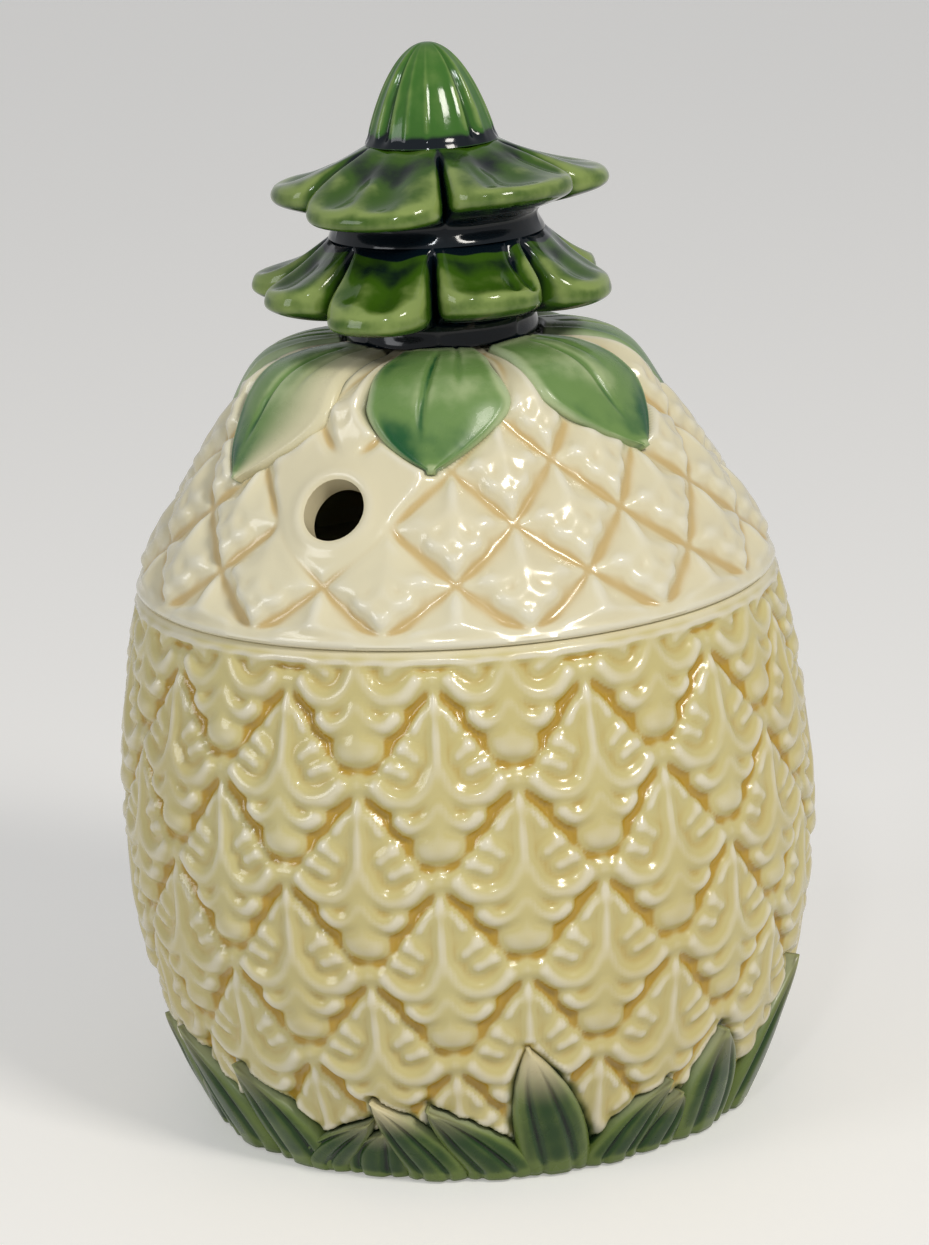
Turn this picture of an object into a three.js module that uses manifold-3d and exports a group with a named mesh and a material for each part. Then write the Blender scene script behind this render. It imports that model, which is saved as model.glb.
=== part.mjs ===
import * as THREE from "three";
import { mergeVertices } from "three/addons/utils/BufferGeometryUtils.js";
import Module from "manifold-3d";

// Pineapple mug with a lid, in millimetres, +Z up, standing on its foot with the axis on Z.
// Azimuth 0 is -Y, the side of the straw hole, and grows towards +X.

const wasm = await Module();
wasm.setup();

// Cup
const footRadius = 45.2;
const bellyRadius = 57.6;
const bellyHeight = 50;
const rimRadius = 52.6;
const rimHeight = 89.4;
const rimRounding = 1.6;
const mouthRadius = 47.8;
const floorTop = 6.6;
const cavityCorner = 12;
const cupWall = 3.4;
const footFlat = 6;
const footRounding = 1.6;
const baseRecess = 2;

// Eyes of the fruit, the same number round the cup and the lid
const eyesAround = 14;
const cupEyeHalfHeight = 15.6;
const cupEyeRowDrop = 3.7;
const cupEyeTurn = -4.2;
const cupEyeDepth = 2.4;
const cupEyeRibs = 6;
const cupRibDepth = 1;
const cupRibSag = 1.1;
const lidEyeHalfHeight = 7.9;
const lidEyeRowRise = 9.5;
const lidEyeTurn = 0.6;
const lidEyeDepth = 1.6;
const lidEyeRibs = 4;
const lidRibDepth = 0.5;
const lidRibSag = 0.4;
const cupRimLand = 1.6;
const cupRimFade = 1.2;
const lidRimLand = 1.5;
const lidRimFade = 2.5;

// Lid dome, whose outline runs from the rim over the shoulder to the neck of the crown
const lidRimRadius = 52.6;
const lidRimRounding = 1.4;
const domeHeight = 39.8;
const shoulderRadius = 30.6;
const shoulderDrop = 3.8;
const neckRadius = 16;
const flankShape = [[0.2, 0.26], [0.47, 0.52], [0.76, 0.78]]; // shares of the way in and up
const crownSeatShape = { inward: 0.45, drop: 0.2 };
const lidWall = 3.4;
const domeRoof = 6;

// Locating ring under the lid
const ringClearance = 1.1;
const ringWall = 3.8;
const ringDrop = 8;

// Straw hole
const strawHoleDiameter = 10.2;
const strawHoleHeight = 109.2;
const strawHoleRise = 38;
const strawHoleLand = 4;

// Leaves
const seatGap = 0.3;
const reliefFade = 2;
const reliefFadeTurn = 3;
const footLeafSeat = 2.2;
const footLeafThickness = 2.9;
const footLeafRoot = 1.8;
const footBandTop = 5.4;
const footBandThickness = 1.6;
const footLeafSweep = 1.2;
const footLeafTaper = 2.4;
const bluntestTip = 0.08;
const domeLeafSeat = 1;
const domeLeafThickness = 1.7;
const domeLeafEdge = 0.8;
const domeLeafSpread = 22;
const domeLeafBulge = 0.45;
const domeLeafTaper = 1.7;
const stepsAcrossBlade = 4;
const stepsAlongFootLeaf = 4;
const stepsAlongDomeLeaf = 5;

// Each foot leaf: azimuth of its root and of its tip, height of its tip, width at its root in degrees.
// The set covers half of the foot and is repeated on the other half.
const footLeaves = [
  { root: -31, tip: -41, top: 20, width: 20 },
  { root: -13, tip: -23, top: 18, width: 18 },
  { root: -9, tip: 5, top: 11.5, width: 13 },
  { root: 16, tip: 6, top: 15.7, width: 13 },
  { root: 29, tip: 16, top: 14.5, width: 15 },
  { root: 40, tip: 34, top: 25, width: 15 },
  { root: 52, tip: 62, top: 14, width: 13 },
  { root: 76, tip: 74, top: 20, width: 18 },
  { root: 92, tip: 102, top: 24, width: 16 },
  { root: 121, tip: 128, top: 19, width: 20 },
];

// Each dome leaf: azimuth of its root and of its tip, and how far below the neck its tip reaches.
const domeLeaves = [
  { root: 24, tip: 22, drop: 15 },
  { root: 73, tip: 80, drop: 16 },
  { root: 128, tip: 131, drop: 15 },
  { root: 178, tip: 182, drop: 16 },
  { root: 229, tip: 233, drop: 14 },
  { root: 280, tip: 282, drop: 13 },
  { root: 332, tip: 328, drop: 18 },
];

// Crown: each leaf's azimuth, reach from the axis and height of its tip.
const lowerTierHeight = 16.4;
const lowerLip = { radius: 18.4, rise: 7.4 };
const lowerLeaves = [
  { azimuth: -2, reach: 29.4, rise: 5.7 },
  { azimuth: 49, reach: 26, rise: 7.6 },
  { azimuth: 101, reach: 28, rise: 6.4 },
  { azimuth: 152, reach: 29, rise: 7.4 },
  { azimuth: 204, reach: 28, rise: 7 },
  { azimuth: 241, reach: 29, rise: 6.4 },
  { azimuth: 279, reach: 31.5, rise: 8 },
  { azimuth: 317, reach: 29.4, rise: 7.6 },
];
const upperNeckRadius = 17.2;
const upperTierHeight = 14.6;
const upperLip = { radius: 18.2, rise: 6.8 };
const upperLeaves = [
  { azimuth: -5, reach: 26, rise: 4.9 },
  { azimuth: 67, reach: 26.4, rise: 8 },
  { azimuth: 134, reach: 28.8, rise: 6.6 },
  { azimuth: 208, reach: 27, rise: 6 },
  { azimuth: 281, reach: 26.6, rise: 6.6 },
];
const stepsAcrossCrownLeaf = 7;
const budRadius = 10.4;
const budHeight = 15.8;
const budGrooves = [-23.5, 70.5, 112, 160, 208, 256, 300];
const budGrooveDepth = 1;
const stepsAcrossBudFold = 5;

// Places that follow from the sizes above
const neckHeight = rimHeight + domeHeight;
const cupEyeRowHeight = rimHeight - cupEyeRowDrop;
const lidEyeRowHeight = rimHeight + lidEyeRowRise;
const upperTierBase = neckHeight + lowerTierHeight;
const budBase = upperTierBase + upperTierHeight;
const cupColumns = eyesAround * cupEyeRibs;
const lidColumns = eyesAround * lidEyeRibs;
const plainColumns = eyesAround * 3;
const cupRowStep = cupEyeHalfHeight / cupEyeRibs;
const lidRowStep = lidEyeHalfHeight / lidEyeRibs;
const cupEye = {
  turn: cupEyeTurn, rowHeight: cupEyeRowHeight, halfHeight: cupEyeHalfHeight,
  depth: cupEyeDepth, ribs: cupEyeRibs, ribDepth: cupRibDepth, ribSag: cupRibSag,
};
const lidEye = {
  turn: lidEyeTurn, rowHeight: lidEyeRowHeight, halfHeight: lidEyeHalfHeight,
  depth: lidEyeDepth, ribs: lidEyeRibs, ribDepth: lidRibDepth, ribSag: lidRibSag,
};
const radians = THREE.MathUtils.degToRad;
const { lerp, smoothstep } = THREE.MathUtils;

// Outline of the cup over its relief: fuller below the belly than above it
function cupOutline(height) {
  if (height < bellyHeight) {
    return lerp(bellyRadius, footRadius, ((bellyHeight - height) / bellyHeight) ** 2);
  }
  return lerp(bellyRadius, rimRadius, ((height - bellyHeight) / (rimHeight - bellyHeight)) ** 2);
}

// Outline of the dome over its relief, as a smooth curve through its rim, flank, shoulder and neck
const crownSeatRadius = lerp(shoulderRadius, neckRadius, crownSeatShape.inward);
const domeCurve = new THREE.SplineCurve([
  new THREE.Vector2(lidRimRadius, rimHeight + lidRimRounding),
  ...flankShape.map(([inward, upward]) => new THREE.Vector2(
    lerp(lidRimRadius, shoulderRadius, inward),
    lerp(rimHeight, neckHeight - shoulderDrop, upward),
  )),
  new THREE.Vector2(shoulderRadius, neckHeight - shoulderDrop),
  new THREE.Vector2(crownSeatRadius, neckHeight - shoulderDrop * crownSeatShape.drop),
  new THREE.Vector2(neckRadius, neckHeight),
]);
const domePoints = domeCurve.getPoints(120);

function domeOutline(height) {
  const above = domePoints.findIndex((point) => point.y > height);
  if (above === 0) return domePoints[0].x;
  if (above < 0) return neckRadius;
  const [low, high] = [domePoints[above - 1], domePoints[above]];
  return lerp(low.x, high.x, (height - low.y) / (high.y - low.y));
}

// Carving of one eye in mm: how deep it lies, and how far down its rib sags. x runs -1 to 1 across the
// eye, and y from 0 at its apex to 2 at its lower tip. Between sharp valleys stands a face with a keel
// and ribs across it, whose crests and troughs fall on alternate rows. Apex and corners bridge to the
// neighbours.
function carvedEye(x, y, eye) {
  const fromAbove = y - Math.abs(x);
  const fromBelow = 2 - y - Math.abs(x);
  const face = smoothstep(fromAbove, 0, 1.8 / eye.ribs) * smoothstep(fromBelow, 0, 1.5 / eye.ribs);
  const fromCorner = Math.min(Math.hypot(x, y), Math.hypot(1 - Math.abs(x), y - 1));
  const bridge = 0.75 * Math.max(0, 1 - fromCorner / 0.3);
  const trough = (1 - Math.cos(Math.PI * eye.ribs * y)) / 2;
  const sagging = Math.sin(1.5 * Math.PI * Math.min(Math.abs(x), 2 / 3));
  return {
    depth: eye.depth * (1 - Math.max(face, bridge)) + eye.ribDepth * face * trough,
    sag: eye.ribSag * face * sagging,
  };
}

// Finds the eye that holds a point of the lattice and gives the carving there
function latticeCarving(azimuth, height, eye) {
  const across = (azimuth - eye.turn) / (180 / eyesAround);
  const down = (eye.rowHeight - height) / eye.halfHeight;
  const left = Math.floor((down + across) / 2);
  const right = Math.floor((down - across) / 2);
  const row = left + right;
  const column = left - right;
  return carvedEye(across - column, down - row, eye);
}

function angleBetween(a, b) {
  return THREE.MathUtils.euclideanModulo(a - b + 180, 360) - 180;
}

// Middle and half width, in degrees, of a leaf at a height, or null past its tip
function footBlade(leaf, height) {
  const s = Math.max(0, (height - footLeafRoot) / (leaf.top - footLeafRoot));
  if (s > 1) return null;
  return {
    middle: lerp(leaf.root, leaf.tip, s ** footLeafSweep),
    half: (leaf.width / 2) * Math.max(1 - s ** footLeafTaper, bluntestTip),
  };
}

function domeBlade(leaf, height) {
  const s = (neckHeight - height) / leaf.drop;
  if (s > 1) return null;
  const pastBulge = Math.max(0, (s - domeLeafBulge) / (1 - domeLeafBulge));
  const taper = Math.max(1 - pastBulge ** domeLeafTaper, bluntestTip);
  return { middle: lerp(leaf.root, leaf.tip, s), half: domeLeafSpread * taper };
}

const allFootLeaves = [0, 180].flatMap((turn) =>
  footLeaves.map((leaf) => ({ ...leaf, root: leaf.root + turn, tip: leaf.tip + turn })));

// How much of the relief is left near a leaf, 0 under it and 1 clear of it. One facet each way stays
// plain round the leaf, so that it seats.
function clearOfLeaf(azimuth, height, rowStep, columns, blade, leaf) {
  let least = 1;
  for (const step of [-1, -0.5, 0, 0.5, 1]) {
    const at = blade(leaf, height + step * rowStep);
    if (at === null) continue;
    const beside = Math.abs(angleBetween(azimuth, at.middle)) - at.half - 360 / columns;
    least = Math.min(least, smoothstep(beside, 0, reliefFadeTurn));
  }
  return least;
}

function cupReliefLeft(azimuth, height) {
  const foot = smoothstep(height, footBandTop + cupRowStep, footBandTop + cupRowStep + reliefFade);
  const rim = 1 - smoothstep(height, rimHeight - cupRimLand - cupRimFade, rimHeight - cupRimLand);
  const leaves = allFootLeaves.map((leaf) =>
    clearOfLeaf(azimuth, height, cupRowStep, cupColumns, footBlade, leaf));
  return Math.min(foot, rim, ...leaves);
}

function strawHoleCentre() {
  return new THREE.Vector3(0, -domeOutline(strawHoleHeight), strawHoleHeight);
}

function domeReliefLeft(azimuth, height, radius) {
  const turn = radians(azimuth);
  const point = new THREE.Vector3(radius * Math.sin(turn), -radius * Math.cos(turn), height);
  const fromHole = point.distanceTo(strawHoleCentre()) - strawHoleDiameter / 2;
  const hole = smoothstep(fromHole, strawHoleLand * 0.6, strawHoleLand * 1.8);
  const rim = smoothstep(height, rimHeight + lidRimLand, rimHeight + lidRimLand + lidRimFade);
  const leaves = domeLeaves.map((leaf) =>
    clearOfLeaf(azimuth, height, lidRowStep, lidColumns, domeBlade, leaf));
  return Math.min(hole, rim, ...leaves);
}

// Merges a geometry into one closed skin and drops the faces that have no area
function closed(geometry) {
  geometry.deleteAttribute("normal");
  geometry.deleteAttribute("uv");
  const merged = mergeVertices(geometry, 1e-4);
  const corners = merged.index.array;
  const kept = [];
  for (let i = 0; i < corners.length; i += 3) {
    const [a, b, c] = corners.slice(i, i + 3);
    if (a !== b && b !== c && c !== a) kept.push(a, b, c);
  }
  merged.setIndex(kept);
  merged.computeVertexNormals();
  return merged;
}

// A turned form of [radius, height] rows. place(azimuth, row) may move each point, and
// azimuthOf(column) may space the columns. From evenRow on, every other row is turned by half a column,
// so that facets follow the diamonds. Elsewhere each facet pair folds between its two most alike points.
function turned(profile, columns, place = (azimuth, row) => profile[row], azimuthOf = null, evenRow = null) {
  const outline = profile.map(([radius, height]) => new THREE.Vector2(radius, height));
  const geometry = new THREE.LatheGeometry(outline, columns);
  const position = geometry.getAttribute("position");
  const rows = profile.length;
  const isTurned = (row) => evenRow !== null && Math.abs(row - evenRow) % 2 === 1;
  const radii = [];
  for (let column = 0; column <= columns; column += 1) {
    for (let row = 0; row < rows; row += 1) {
      const lap = column % columns;
      const straight = azimuthOf ? azimuthOf(lap) : (360 * lap) / columns;
      const azimuth = straight + (isTurned(row) ? 180 / columns : 0);
      const turn = radians(azimuth);
      const [radius, height] = place(azimuth, row);
      radii.push(radius);
      position.setXYZ(column * rows + row, radius * Math.sin(turn), -radius * Math.cos(turn), height);
    }
  }
  const faces = [];
  for (let column = 0; column < columns; column += 1) {
    for (let row = 0; row < rows - 1; row += 1) {
      const a = column * rows + row;
      const [b, c, d] = [a + rows, a + rows + 1, a + 1];
      const alike = Math.abs(radii[a] - radii[c]) < Math.abs(radii[b] - radii[d]);
      const foldRising = evenRow === null ? alike : isTurned(row);
      faces.push(...(foldRising ? [a, b, c, a, c, d] : [a, b, d, b, c, d]));
    }
  }
  geometry.setIndex(faces);
  return closed(geometry);
}

function toSolid(geometry) {
  const vertProperties = new Float32Array(geometry.getAttribute("position").array);
  const triVerts = new Uint32Array(geometry.index.array);
  return new wasm.Manifold(new wasm.Mesh({ numProp: 3, vertProperties, triVerts }));
}

function toGeometry(solid) {
  const { vertProperties, triVerts } = solid.getMesh();
  const geometry = new THREE.BufferGeometry();
  geometry.setAttribute("position", new THREE.BufferAttribute(vertProperties, 3));
  geometry.setIndex(new THREE.BufferAttribute(triVerts, 1));
  return closed(geometry);
}

// A leaf blade: a thin box blank bent so that bend(across, along, front) gives [azimuth, radius, height]
function bladeBlank(across, along, bend) {
  const geometry = new THREE.BoxGeometry(2, 1, 1, across, along, 1);
  const position = geometry.getAttribute("position");
  for (let vertex = 0; vertex < position.count; vertex += 1) {
    const front = position.getZ(vertex) > 0;
    const [azimuth, radius, height] = bend(position.getX(vertex), position.getY(vertex) + 0.5, front);
    const turn = radians(azimuth);
    position.setXYZ(vertex, radius * Math.sin(turn), -radius * Math.cos(turn), height);
  }
  return closed(geometry);
}

// Cup: outer form with the eyes, less its cavity
function cupBody() {
  const rows = [];
  for (let height = cupEyeRowHeight; height > footBandTop; height -= cupRowStep) rows.unshift(height);
  rows.unshift(footRounding);
  const soleRadius = footRadius - footLeafSeat;
  const outer = [
    [0, baseRecess],
    [soleRadius - footRounding - footFlat - baseRecess, baseRecess],
    [soleRadius - footRounding - footFlat, 0],
    [soleRadius - footRounding, 0],
    ...rows.map((height) => [cupOutline(height), height]),
    [rimRadius, rimHeight - rimRounding],
    [rimRadius - rimRounding * 0.3, rimHeight - rimRounding * 0.3],
    [rimRadius - rimRounding, rimHeight],
    [0, rimHeight],
  ];
  const firstRow = 4;
  const lastRow = firstRow + rows.length;
  const apexRow = lastRow - 1;
  const place = (azimuth, row) => {
    const [radius, height] = outer[row];
    if (row < firstRow || row >= lastRow) return [radius, height];
    const left = cupReliefLeft(azimuth, height);
    const { depth, sag } = latticeCarving(azimuth, height, cupEye);
    const plain = height < bellyHeight ? radius - footLeafSeat : radius;
    return [lerp(plain, cupOutline(height - sag) - depth, left), height - sag * left];
  };
  const cavity = [[0, floorTop]];
  for (const share of [0, 0.35, 0.7, 1]) {
    const height = floorTop + cavityCorner * (1 - Math.cos((share * Math.PI) / 2));
    const inset = cavityCorner * (1 - Math.sin((share * Math.PI) / 2));
    cavity.push([cupOutline(height) - cupEyeDepth - cupWall - inset, height]);
  }
  for (const share of [0.25, 0.5, 0.75]) {
    const height = lerp(floorTop + cavityCorner, rimHeight, share);
    cavity.push([Math.max(cupOutline(height) - cupEyeDepth - cupWall, mouthRadius), height]);
  }
  cavity.push([mouthRadius, rimHeight + 1], [0, rimHeight + 1]);
  const azimuthOf = (column) => cupEyeTurn + (360 * column) / cupColumns;
  const form = toSolid(turned(outer, cupColumns, place, azimuthOf, apexRow));
  return toGeometry(form.subtract(toSolid(turned(cavity, plainColumns))));
}

// Ring of leaves round the foot: a low band and its blades, cut to the seat on the cup
function footLeafBand() {
  const seat = (height) => cupOutline(height) - footLeafSeat + seatGap;
  const inner = seat(0) - 3;
  const bandFoot = footRounding * 0.5;
  const band = [
    [inner, bandFoot],
    [seat(bandFoot) + footBandThickness * 0.6, bandFoot],
    [seat(footLeafRoot) + footBandThickness, footLeafRoot + 0.6],
    [seat(footBandTop) + footBandThickness * 0.4, footBandTop],
    [inner, footBandTop],
    [inner, bandFoot],
  ];
  let leaves = toSolid(turned(band, allFootLeaves.length * 2));
  for (const leaf of allFootLeaves) {
    const blade = bladeBlank(stepsAcrossBlade, stepsAlongFootLeaf, (across, along, front) => {
      const height = lerp(footLeafRoot, leaf.top, along);
      const { middle, half } = footBlade(leaf, height);
      const crown = [0.75, 1, 0.35][Math.round(Math.abs(across) * 2)];
      const swell = front ? footLeafThickness * crown * (1 - 0.35 * along ** 3) : -1;
      return [middle + half * across, seat(height) + swell, height];
    });
    leaves = leaves.add(toSolid(blade));
  }
  const tallest = Math.max(...allFootLeaves.map((leaf) => leaf.top));
  const cutter = [[0, -1], [seat(0), -1]];
  for (const share of [0, 0.35, 0.7, 1.1]) cutter.push([seat(tallest * share), tallest * share]);
  cutter.push([0, tallest * 1.1]);
  return toGeometry(leaves.subtract(toSolid(turned(cutter, allFootLeaves.length * 2))));
}

// Locating ring: plain collar under the lid that drops into the mouth of the cup
function locatingRing() {
  const outer = mouthRadius - ringClearance;
  const chamfer = ringWall * 0.25;
  const profile = [
    [outer - ringWall, rimHeight],
    [outer - ringWall, rimHeight - ringDrop],
    [outer - chamfer, rimHeight - ringDrop],
    [outer, rimHeight - ringDrop + chamfer],
    [outer, rimHeight],
    [outer - ringWall, rimHeight],
  ];
  return turned(profile, plainColumns);
}

// Dome of the lid: outer form with the eyes, less its cavity and the straw hole
function lidDome() {
  const rows = [];
  for (let z = lidEyeRowHeight; z > rimHeight + lidRimRounding + 1; z -= lidRowStep) rows.unshift(z);
  for (let z = lidEyeRowHeight + lidRowStep; z < neckHeight - shoulderDrop; z += lidRowStep) rows.push(z);
  const outer = [
    [0, rimHeight],
    [lidRimRadius - lidRimRounding, rimHeight],
    [lidRimRadius - lidRimRounding * 0.3, rimHeight + lidRimRounding * 0.3],
    [lidRimRadius, rimHeight + lidRimRounding],
    ...rows.map((height) => [domeOutline(height), height]),
    [lerp(neckRadius, crownSeatRadius, 0.8), neckHeight - shoulderDrop * crownSeatShape.drop],
    [neckRadius, neckHeight],
    [0, neckHeight],
  ];
  const firstRow = 4;
  const lastRow = firstRow + rows.length;
  const apexRow = firstRow + rows.indexOf(lidEyeRowHeight);
  const place = (azimuth, row) => {
    const [radius, height] = outer[row];
    if (row === lastRow) return [radius, height - domeLeafSeat];
    if (row < firstRow || row > lastRow) return [radius, height];
    const left = domeReliefLeft(azimuth, height, radius);
    const { depth, sag } = latticeCarving(azimuth, height, lidEye);
    const plain = height > rimHeight + domeHeight / 2 ? radius - domeLeafSeat : radius - lidEyeDepth * 0.3;
    return [lerp(plain, domeOutline(height - sag) - depth, left), height - sag * left];
  };
  const ringInner = mouthRadius - ringClearance - ringWall;
  const cavity = [[0, rimHeight - 1], [ringInner, rimHeight - 1]];
  const top = neckHeight - domeRoof;
  for (const share of [0.25, 0.5, 0.75, 0.93, 1]) {
    const height = lerp(rimHeight, top, share);
    const radius = domeOutline(height) - lidEyeDepth - lidWall;
    cavity.push([Math.min(ringInner, share === 1 ? radius - domeRoof : radius), height]);
  }
  cavity.push([0, top]);
  const bore = new THREE.CylinderGeometry(strawHoleDiameter / 2, strawHoleDiameter / 2, shoulderRadius, 24);
  bore.rotateX(radians(-strawHoleRise));
  const centre = strawHoleCentre();
  bore.translate(centre.x, centre.y, centre.z);
  const azimuthOf = (column) => lidEyeTurn + (360 * column) / lidColumns;
  const form = toSolid(turned(outer, lidColumns, place, azimuthOf, apexRow));
  const shell = form.subtract(toSolid(turned(cavity, plainColumns)));
  return toGeometry(shell.subtract(toSolid(closed(bore))));
}

// Leaf laid on the dome, from the neck of the crown to its tip
function domeLeaf(leaf) {
  const start = neckHeight - shoulderDrop * 0.12;
  return bladeBlank(stepsAcrossBlade, stepsAlongDomeLeaf, (across, along, front) => {
    const height = lerp(start, neckHeight - leaf.drop, along ** 1.5);
    const { middle, half } = domeBlade(leaf, height);
    const crown = [0.7, 1, domeLeafEdge / domeLeafThickness][Math.round(Math.abs(across) * 2)];
    const lift = seatGap + (front ? domeLeafThickness * crown * (1 - 0.4 * along ** 3) : 0);
    const slope = (domeOutline(height - 0.2) - domeOutline(height + 0.2)) / 0.4;
    const tilt = Math.atan(slope);
    const radius = domeOutline(height) - domeLeafSeat;
    return [middle - half * across, radius + lift * Math.cos(tilt), height + lift * Math.sin(tilt)];
  });
}

// Azimuths of the columns of a crown tier, spread evenly across each of its leaves
function tierColumns(leaves) {
  const azimuths = [];
  leaves.forEach((leaf, i) => {
    const before = leaves[(i + leaves.length - 1) % leaves.length].azimuth;
    const after = leaves[(i + 1) % leaves.length].azimuth;
    const start = leaf.azimuth - THREE.MathUtils.euclideanModulo(leaf.azimuth - before, 360) / 2;
    const end = leaf.azimuth + THREE.MathUtils.euclideanModulo(after - leaf.azimuth, 360) / 2;
    for (let step = 0; step < stepsAcrossCrownLeaf; step += 1) {
      azimuths.push({ azimuth: lerp(start, end, step / stepsAcrossCrownLeaf), leaf, start, end });
    }
  });
  return azimuths;
}

// A crown tier: rows of [radius, rise, share], where share says how far a row follows the leaf outwards
function crownTier(base, lip, leaves, rows) {
  const columns = tierColumns(leaves);
  const place = (azimuth, row) => {
    const { leaf, start, end } = columns.find((column) => column.azimuth === azimuth);
    const middle = (start + end) / 2;
    const out = Math.sqrt(1 - Math.min(1, Math.abs(azimuth - middle) / ((end - start) / 2)) ** 2.4);
    const [radius, rise, share] = rows[row];
    const reach = radius + out * share * (leaf.reach - lip.radius);
    return [reach, base + rise + out * share * (leaf.rise - lip.rise)];
  };
  const profile = rows.map(([radius, rise]) => [radius, base + rise]);
  return turned(profile, columns.length, place, (column) => columns[column].azimuth);
}

function lowerTier() {
  const { radius, rise } = lowerLip;
  return crownTier(neckHeight, lowerLip, lowerLeaves, [
    [0, 0, 0],
    [neckRadius - 0.2, 0, 0],
    [neckRadius, rise * 0.5, 0],
    [radius - 1.2, rise - 2.4, 0.7],
    [radius - 0.2, rise - 1, 0.98],
    [radius, rise + 0.8, 1],
    [radius, rise + 3, 0.86],
    [radius - 0.1, rise + 5.6, 0.45],
    [upperNeckRadius + 0.4, lowerTierHeight, 0],
    [0, lowerTierHeight, 0],
  ]);
}

function upperTier() {
  const { radius, rise } = upperLip;
  return crownTier(upperTierBase, upperLip, upperLeaves, [
    [0, 0, 0],
    [upperNeckRadius, 0, 0],
    [upperNeckRadius - 0.3, rise * 0.5, 0],
    [radius - 1, rise - 2, 0.7],
    [radius - 0.2, rise - 0.8, 0.98],
    [radius, rise + 0.9, 1],
    [radius - 0.4, rise + 2.6, 0.82],
    [radius - 2.6, rise + 5, 0.4],
    [budRadius + 0.3, upperTierHeight, 0],
    [0, upperTierHeight, 0],
  ]);
}

// Bud of furled leaves: an ogive with a groove between each leaf and the next
function crownBud() {
  const rows = [[0, 0]];
  for (const share of [0, 0.2, 0.42, 0.62, 0.8, 0.92, 0.98, 1]) {
    rows.push([budRadius * (1 - share ** 1.15) ** 0.5, budHeight * share]);
  }
  const azimuthOf = (column) => {
    const fold = Math.floor(column / stepsAcrossBudFold);
    const start = budGrooves[fold];
    const end = budGrooves[fold + 1] ?? budGrooves[0] + 360;
    return lerp(start, end, (column % stepsAcrossBudFold) / stepsAcrossBudFold);
  };
  const place = (azimuth, row) => {
    const [radius, rise] = rows[row];
    const inGroove = rise > 0 && budGrooves.includes(azimuth);
    return [radius * (inGroove ? 1 - budGrooveDepth / budRadius : 1), budBase + rise];
  };
  const profile = rows.map(([radius, rise]) => [radius, budBase + rise]);
  return turned(profile, budGrooves.length * stepsAcrossBudFold, place, azimuthOf);
}

const creamGlaze = { color: 0xe8dcb0, roughness: 0.16, metalness: 0 };
const paleLeafGlaze = { color: 0x5f9150, roughness: 0.16, metalness: 0 };
const footLeafGlaze = { color: 0x2f5a35, roughness: 0.18, metalness: 0 };
const crownGlaze = { color: 0x2c5f16, roughness: 0.12, metalness: 0 };

function piece(name, geometry, glaze) {
  const mesh = new THREE.Mesh(geometry, new THREE.MeshStandardMaterial(glaze));
  mesh.name = name;
  return mesh;
}

const cup = new THREE.Group();
cup.add(piece("cup_body", cupBody(), creamGlaze));
cup.add(piece("foot_leaf_band", footLeafBand(), footLeafGlaze));

const lid = new THREE.Group();
lid.add(piece("lid_locating_ring", locatingRing(), creamGlaze));
lid.add(piece("lid_dome", lidDome(), creamGlaze));
domeLeaves.forEach((leaf, i) => lid.add(piece(`dome_leaf_${i + 1}`, domeLeaf(leaf), paleLeafGlaze)));
lid.add(piece("crown_lower_tier", lowerTier(), crownGlaze));
lid.add(piece("crown_upper_tier", upperTier(), crownGlaze));
lid.add(piece("crown_bud", crownBud(), crownGlaze));

const pineappleMug = new THREE.Group();
pineappleMug.add(cup, lid);
export default pineappleMug;
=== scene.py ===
import math
import bpy
import bmesh
import numpy as np
from mathutils import Matrix, Vector


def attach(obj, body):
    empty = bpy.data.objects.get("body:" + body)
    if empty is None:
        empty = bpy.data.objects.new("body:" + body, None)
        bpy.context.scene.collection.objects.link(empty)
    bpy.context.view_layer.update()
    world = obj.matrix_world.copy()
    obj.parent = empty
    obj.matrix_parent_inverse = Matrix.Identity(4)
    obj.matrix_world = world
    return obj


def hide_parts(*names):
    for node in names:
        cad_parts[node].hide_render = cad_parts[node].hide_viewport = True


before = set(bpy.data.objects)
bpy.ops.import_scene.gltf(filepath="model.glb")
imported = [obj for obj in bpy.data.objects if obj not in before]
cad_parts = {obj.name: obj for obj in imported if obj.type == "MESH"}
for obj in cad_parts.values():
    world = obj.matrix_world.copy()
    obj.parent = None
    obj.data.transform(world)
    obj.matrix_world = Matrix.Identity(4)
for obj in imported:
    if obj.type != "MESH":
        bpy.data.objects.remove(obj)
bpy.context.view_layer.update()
print("frame loaded:", len(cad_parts), "nodes")

# The mug is modelled in millimetres on its own axis, then brought to metres.
# Azimuth 0 is -Y, the side of the straw hole, and grows towards +X.
farAway = 99.0  # mm, more than any distance that matters
onLine = 0.01  # mm, how near a point lies to a line that it is on
evenHollow = 0.04  # what the plain inner walls have for a hollow


def smooth(value, low, high):
    # 0 at low and 1 at high, without a corner
    share = np.clip((value - low) / (high - low), 0, 1)
    return share * share * (3 - 2 * share)


def mix(start, end, share):
    return start + (end - start) * share


def bell(distance, reach):
    return np.exp(-(distance / reach) ** 2)


def angleBetween(a, b):
    return (a - b + 180) % 360 - 180


def curveThrough(points, steps):
    # points along a smooth curve through the given ones
    given = np.array(points, float)
    given = np.vstack([2 * given[0] - given[1], given, 2 * given[-1] - given[-2]])
    share = np.linspace(0, len(points) - 1, (len(points) - 1) * steps + 1)
    first = np.minimum(share.astype(int), len(points) - 2)
    t = (share - first)[:, None]
    a, b, c, d = (given[first + i] for i in range(4))
    bend = (2 * a - 5 * b + 4 * c - d) * t ** 2
    twist = (3 * b - a - 3 * c + d) * t ** 3
    return 0.5 * (2 * b + (c - a) * t + bend + twist)


def arc(centreX, centreY, radius, start, end, count):
    turns = np.radians(np.linspace(start, end, count))
    return [(centreX + radius * math.cos(t), centreY + radius * math.sin(t)) for t in turns]


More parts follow.
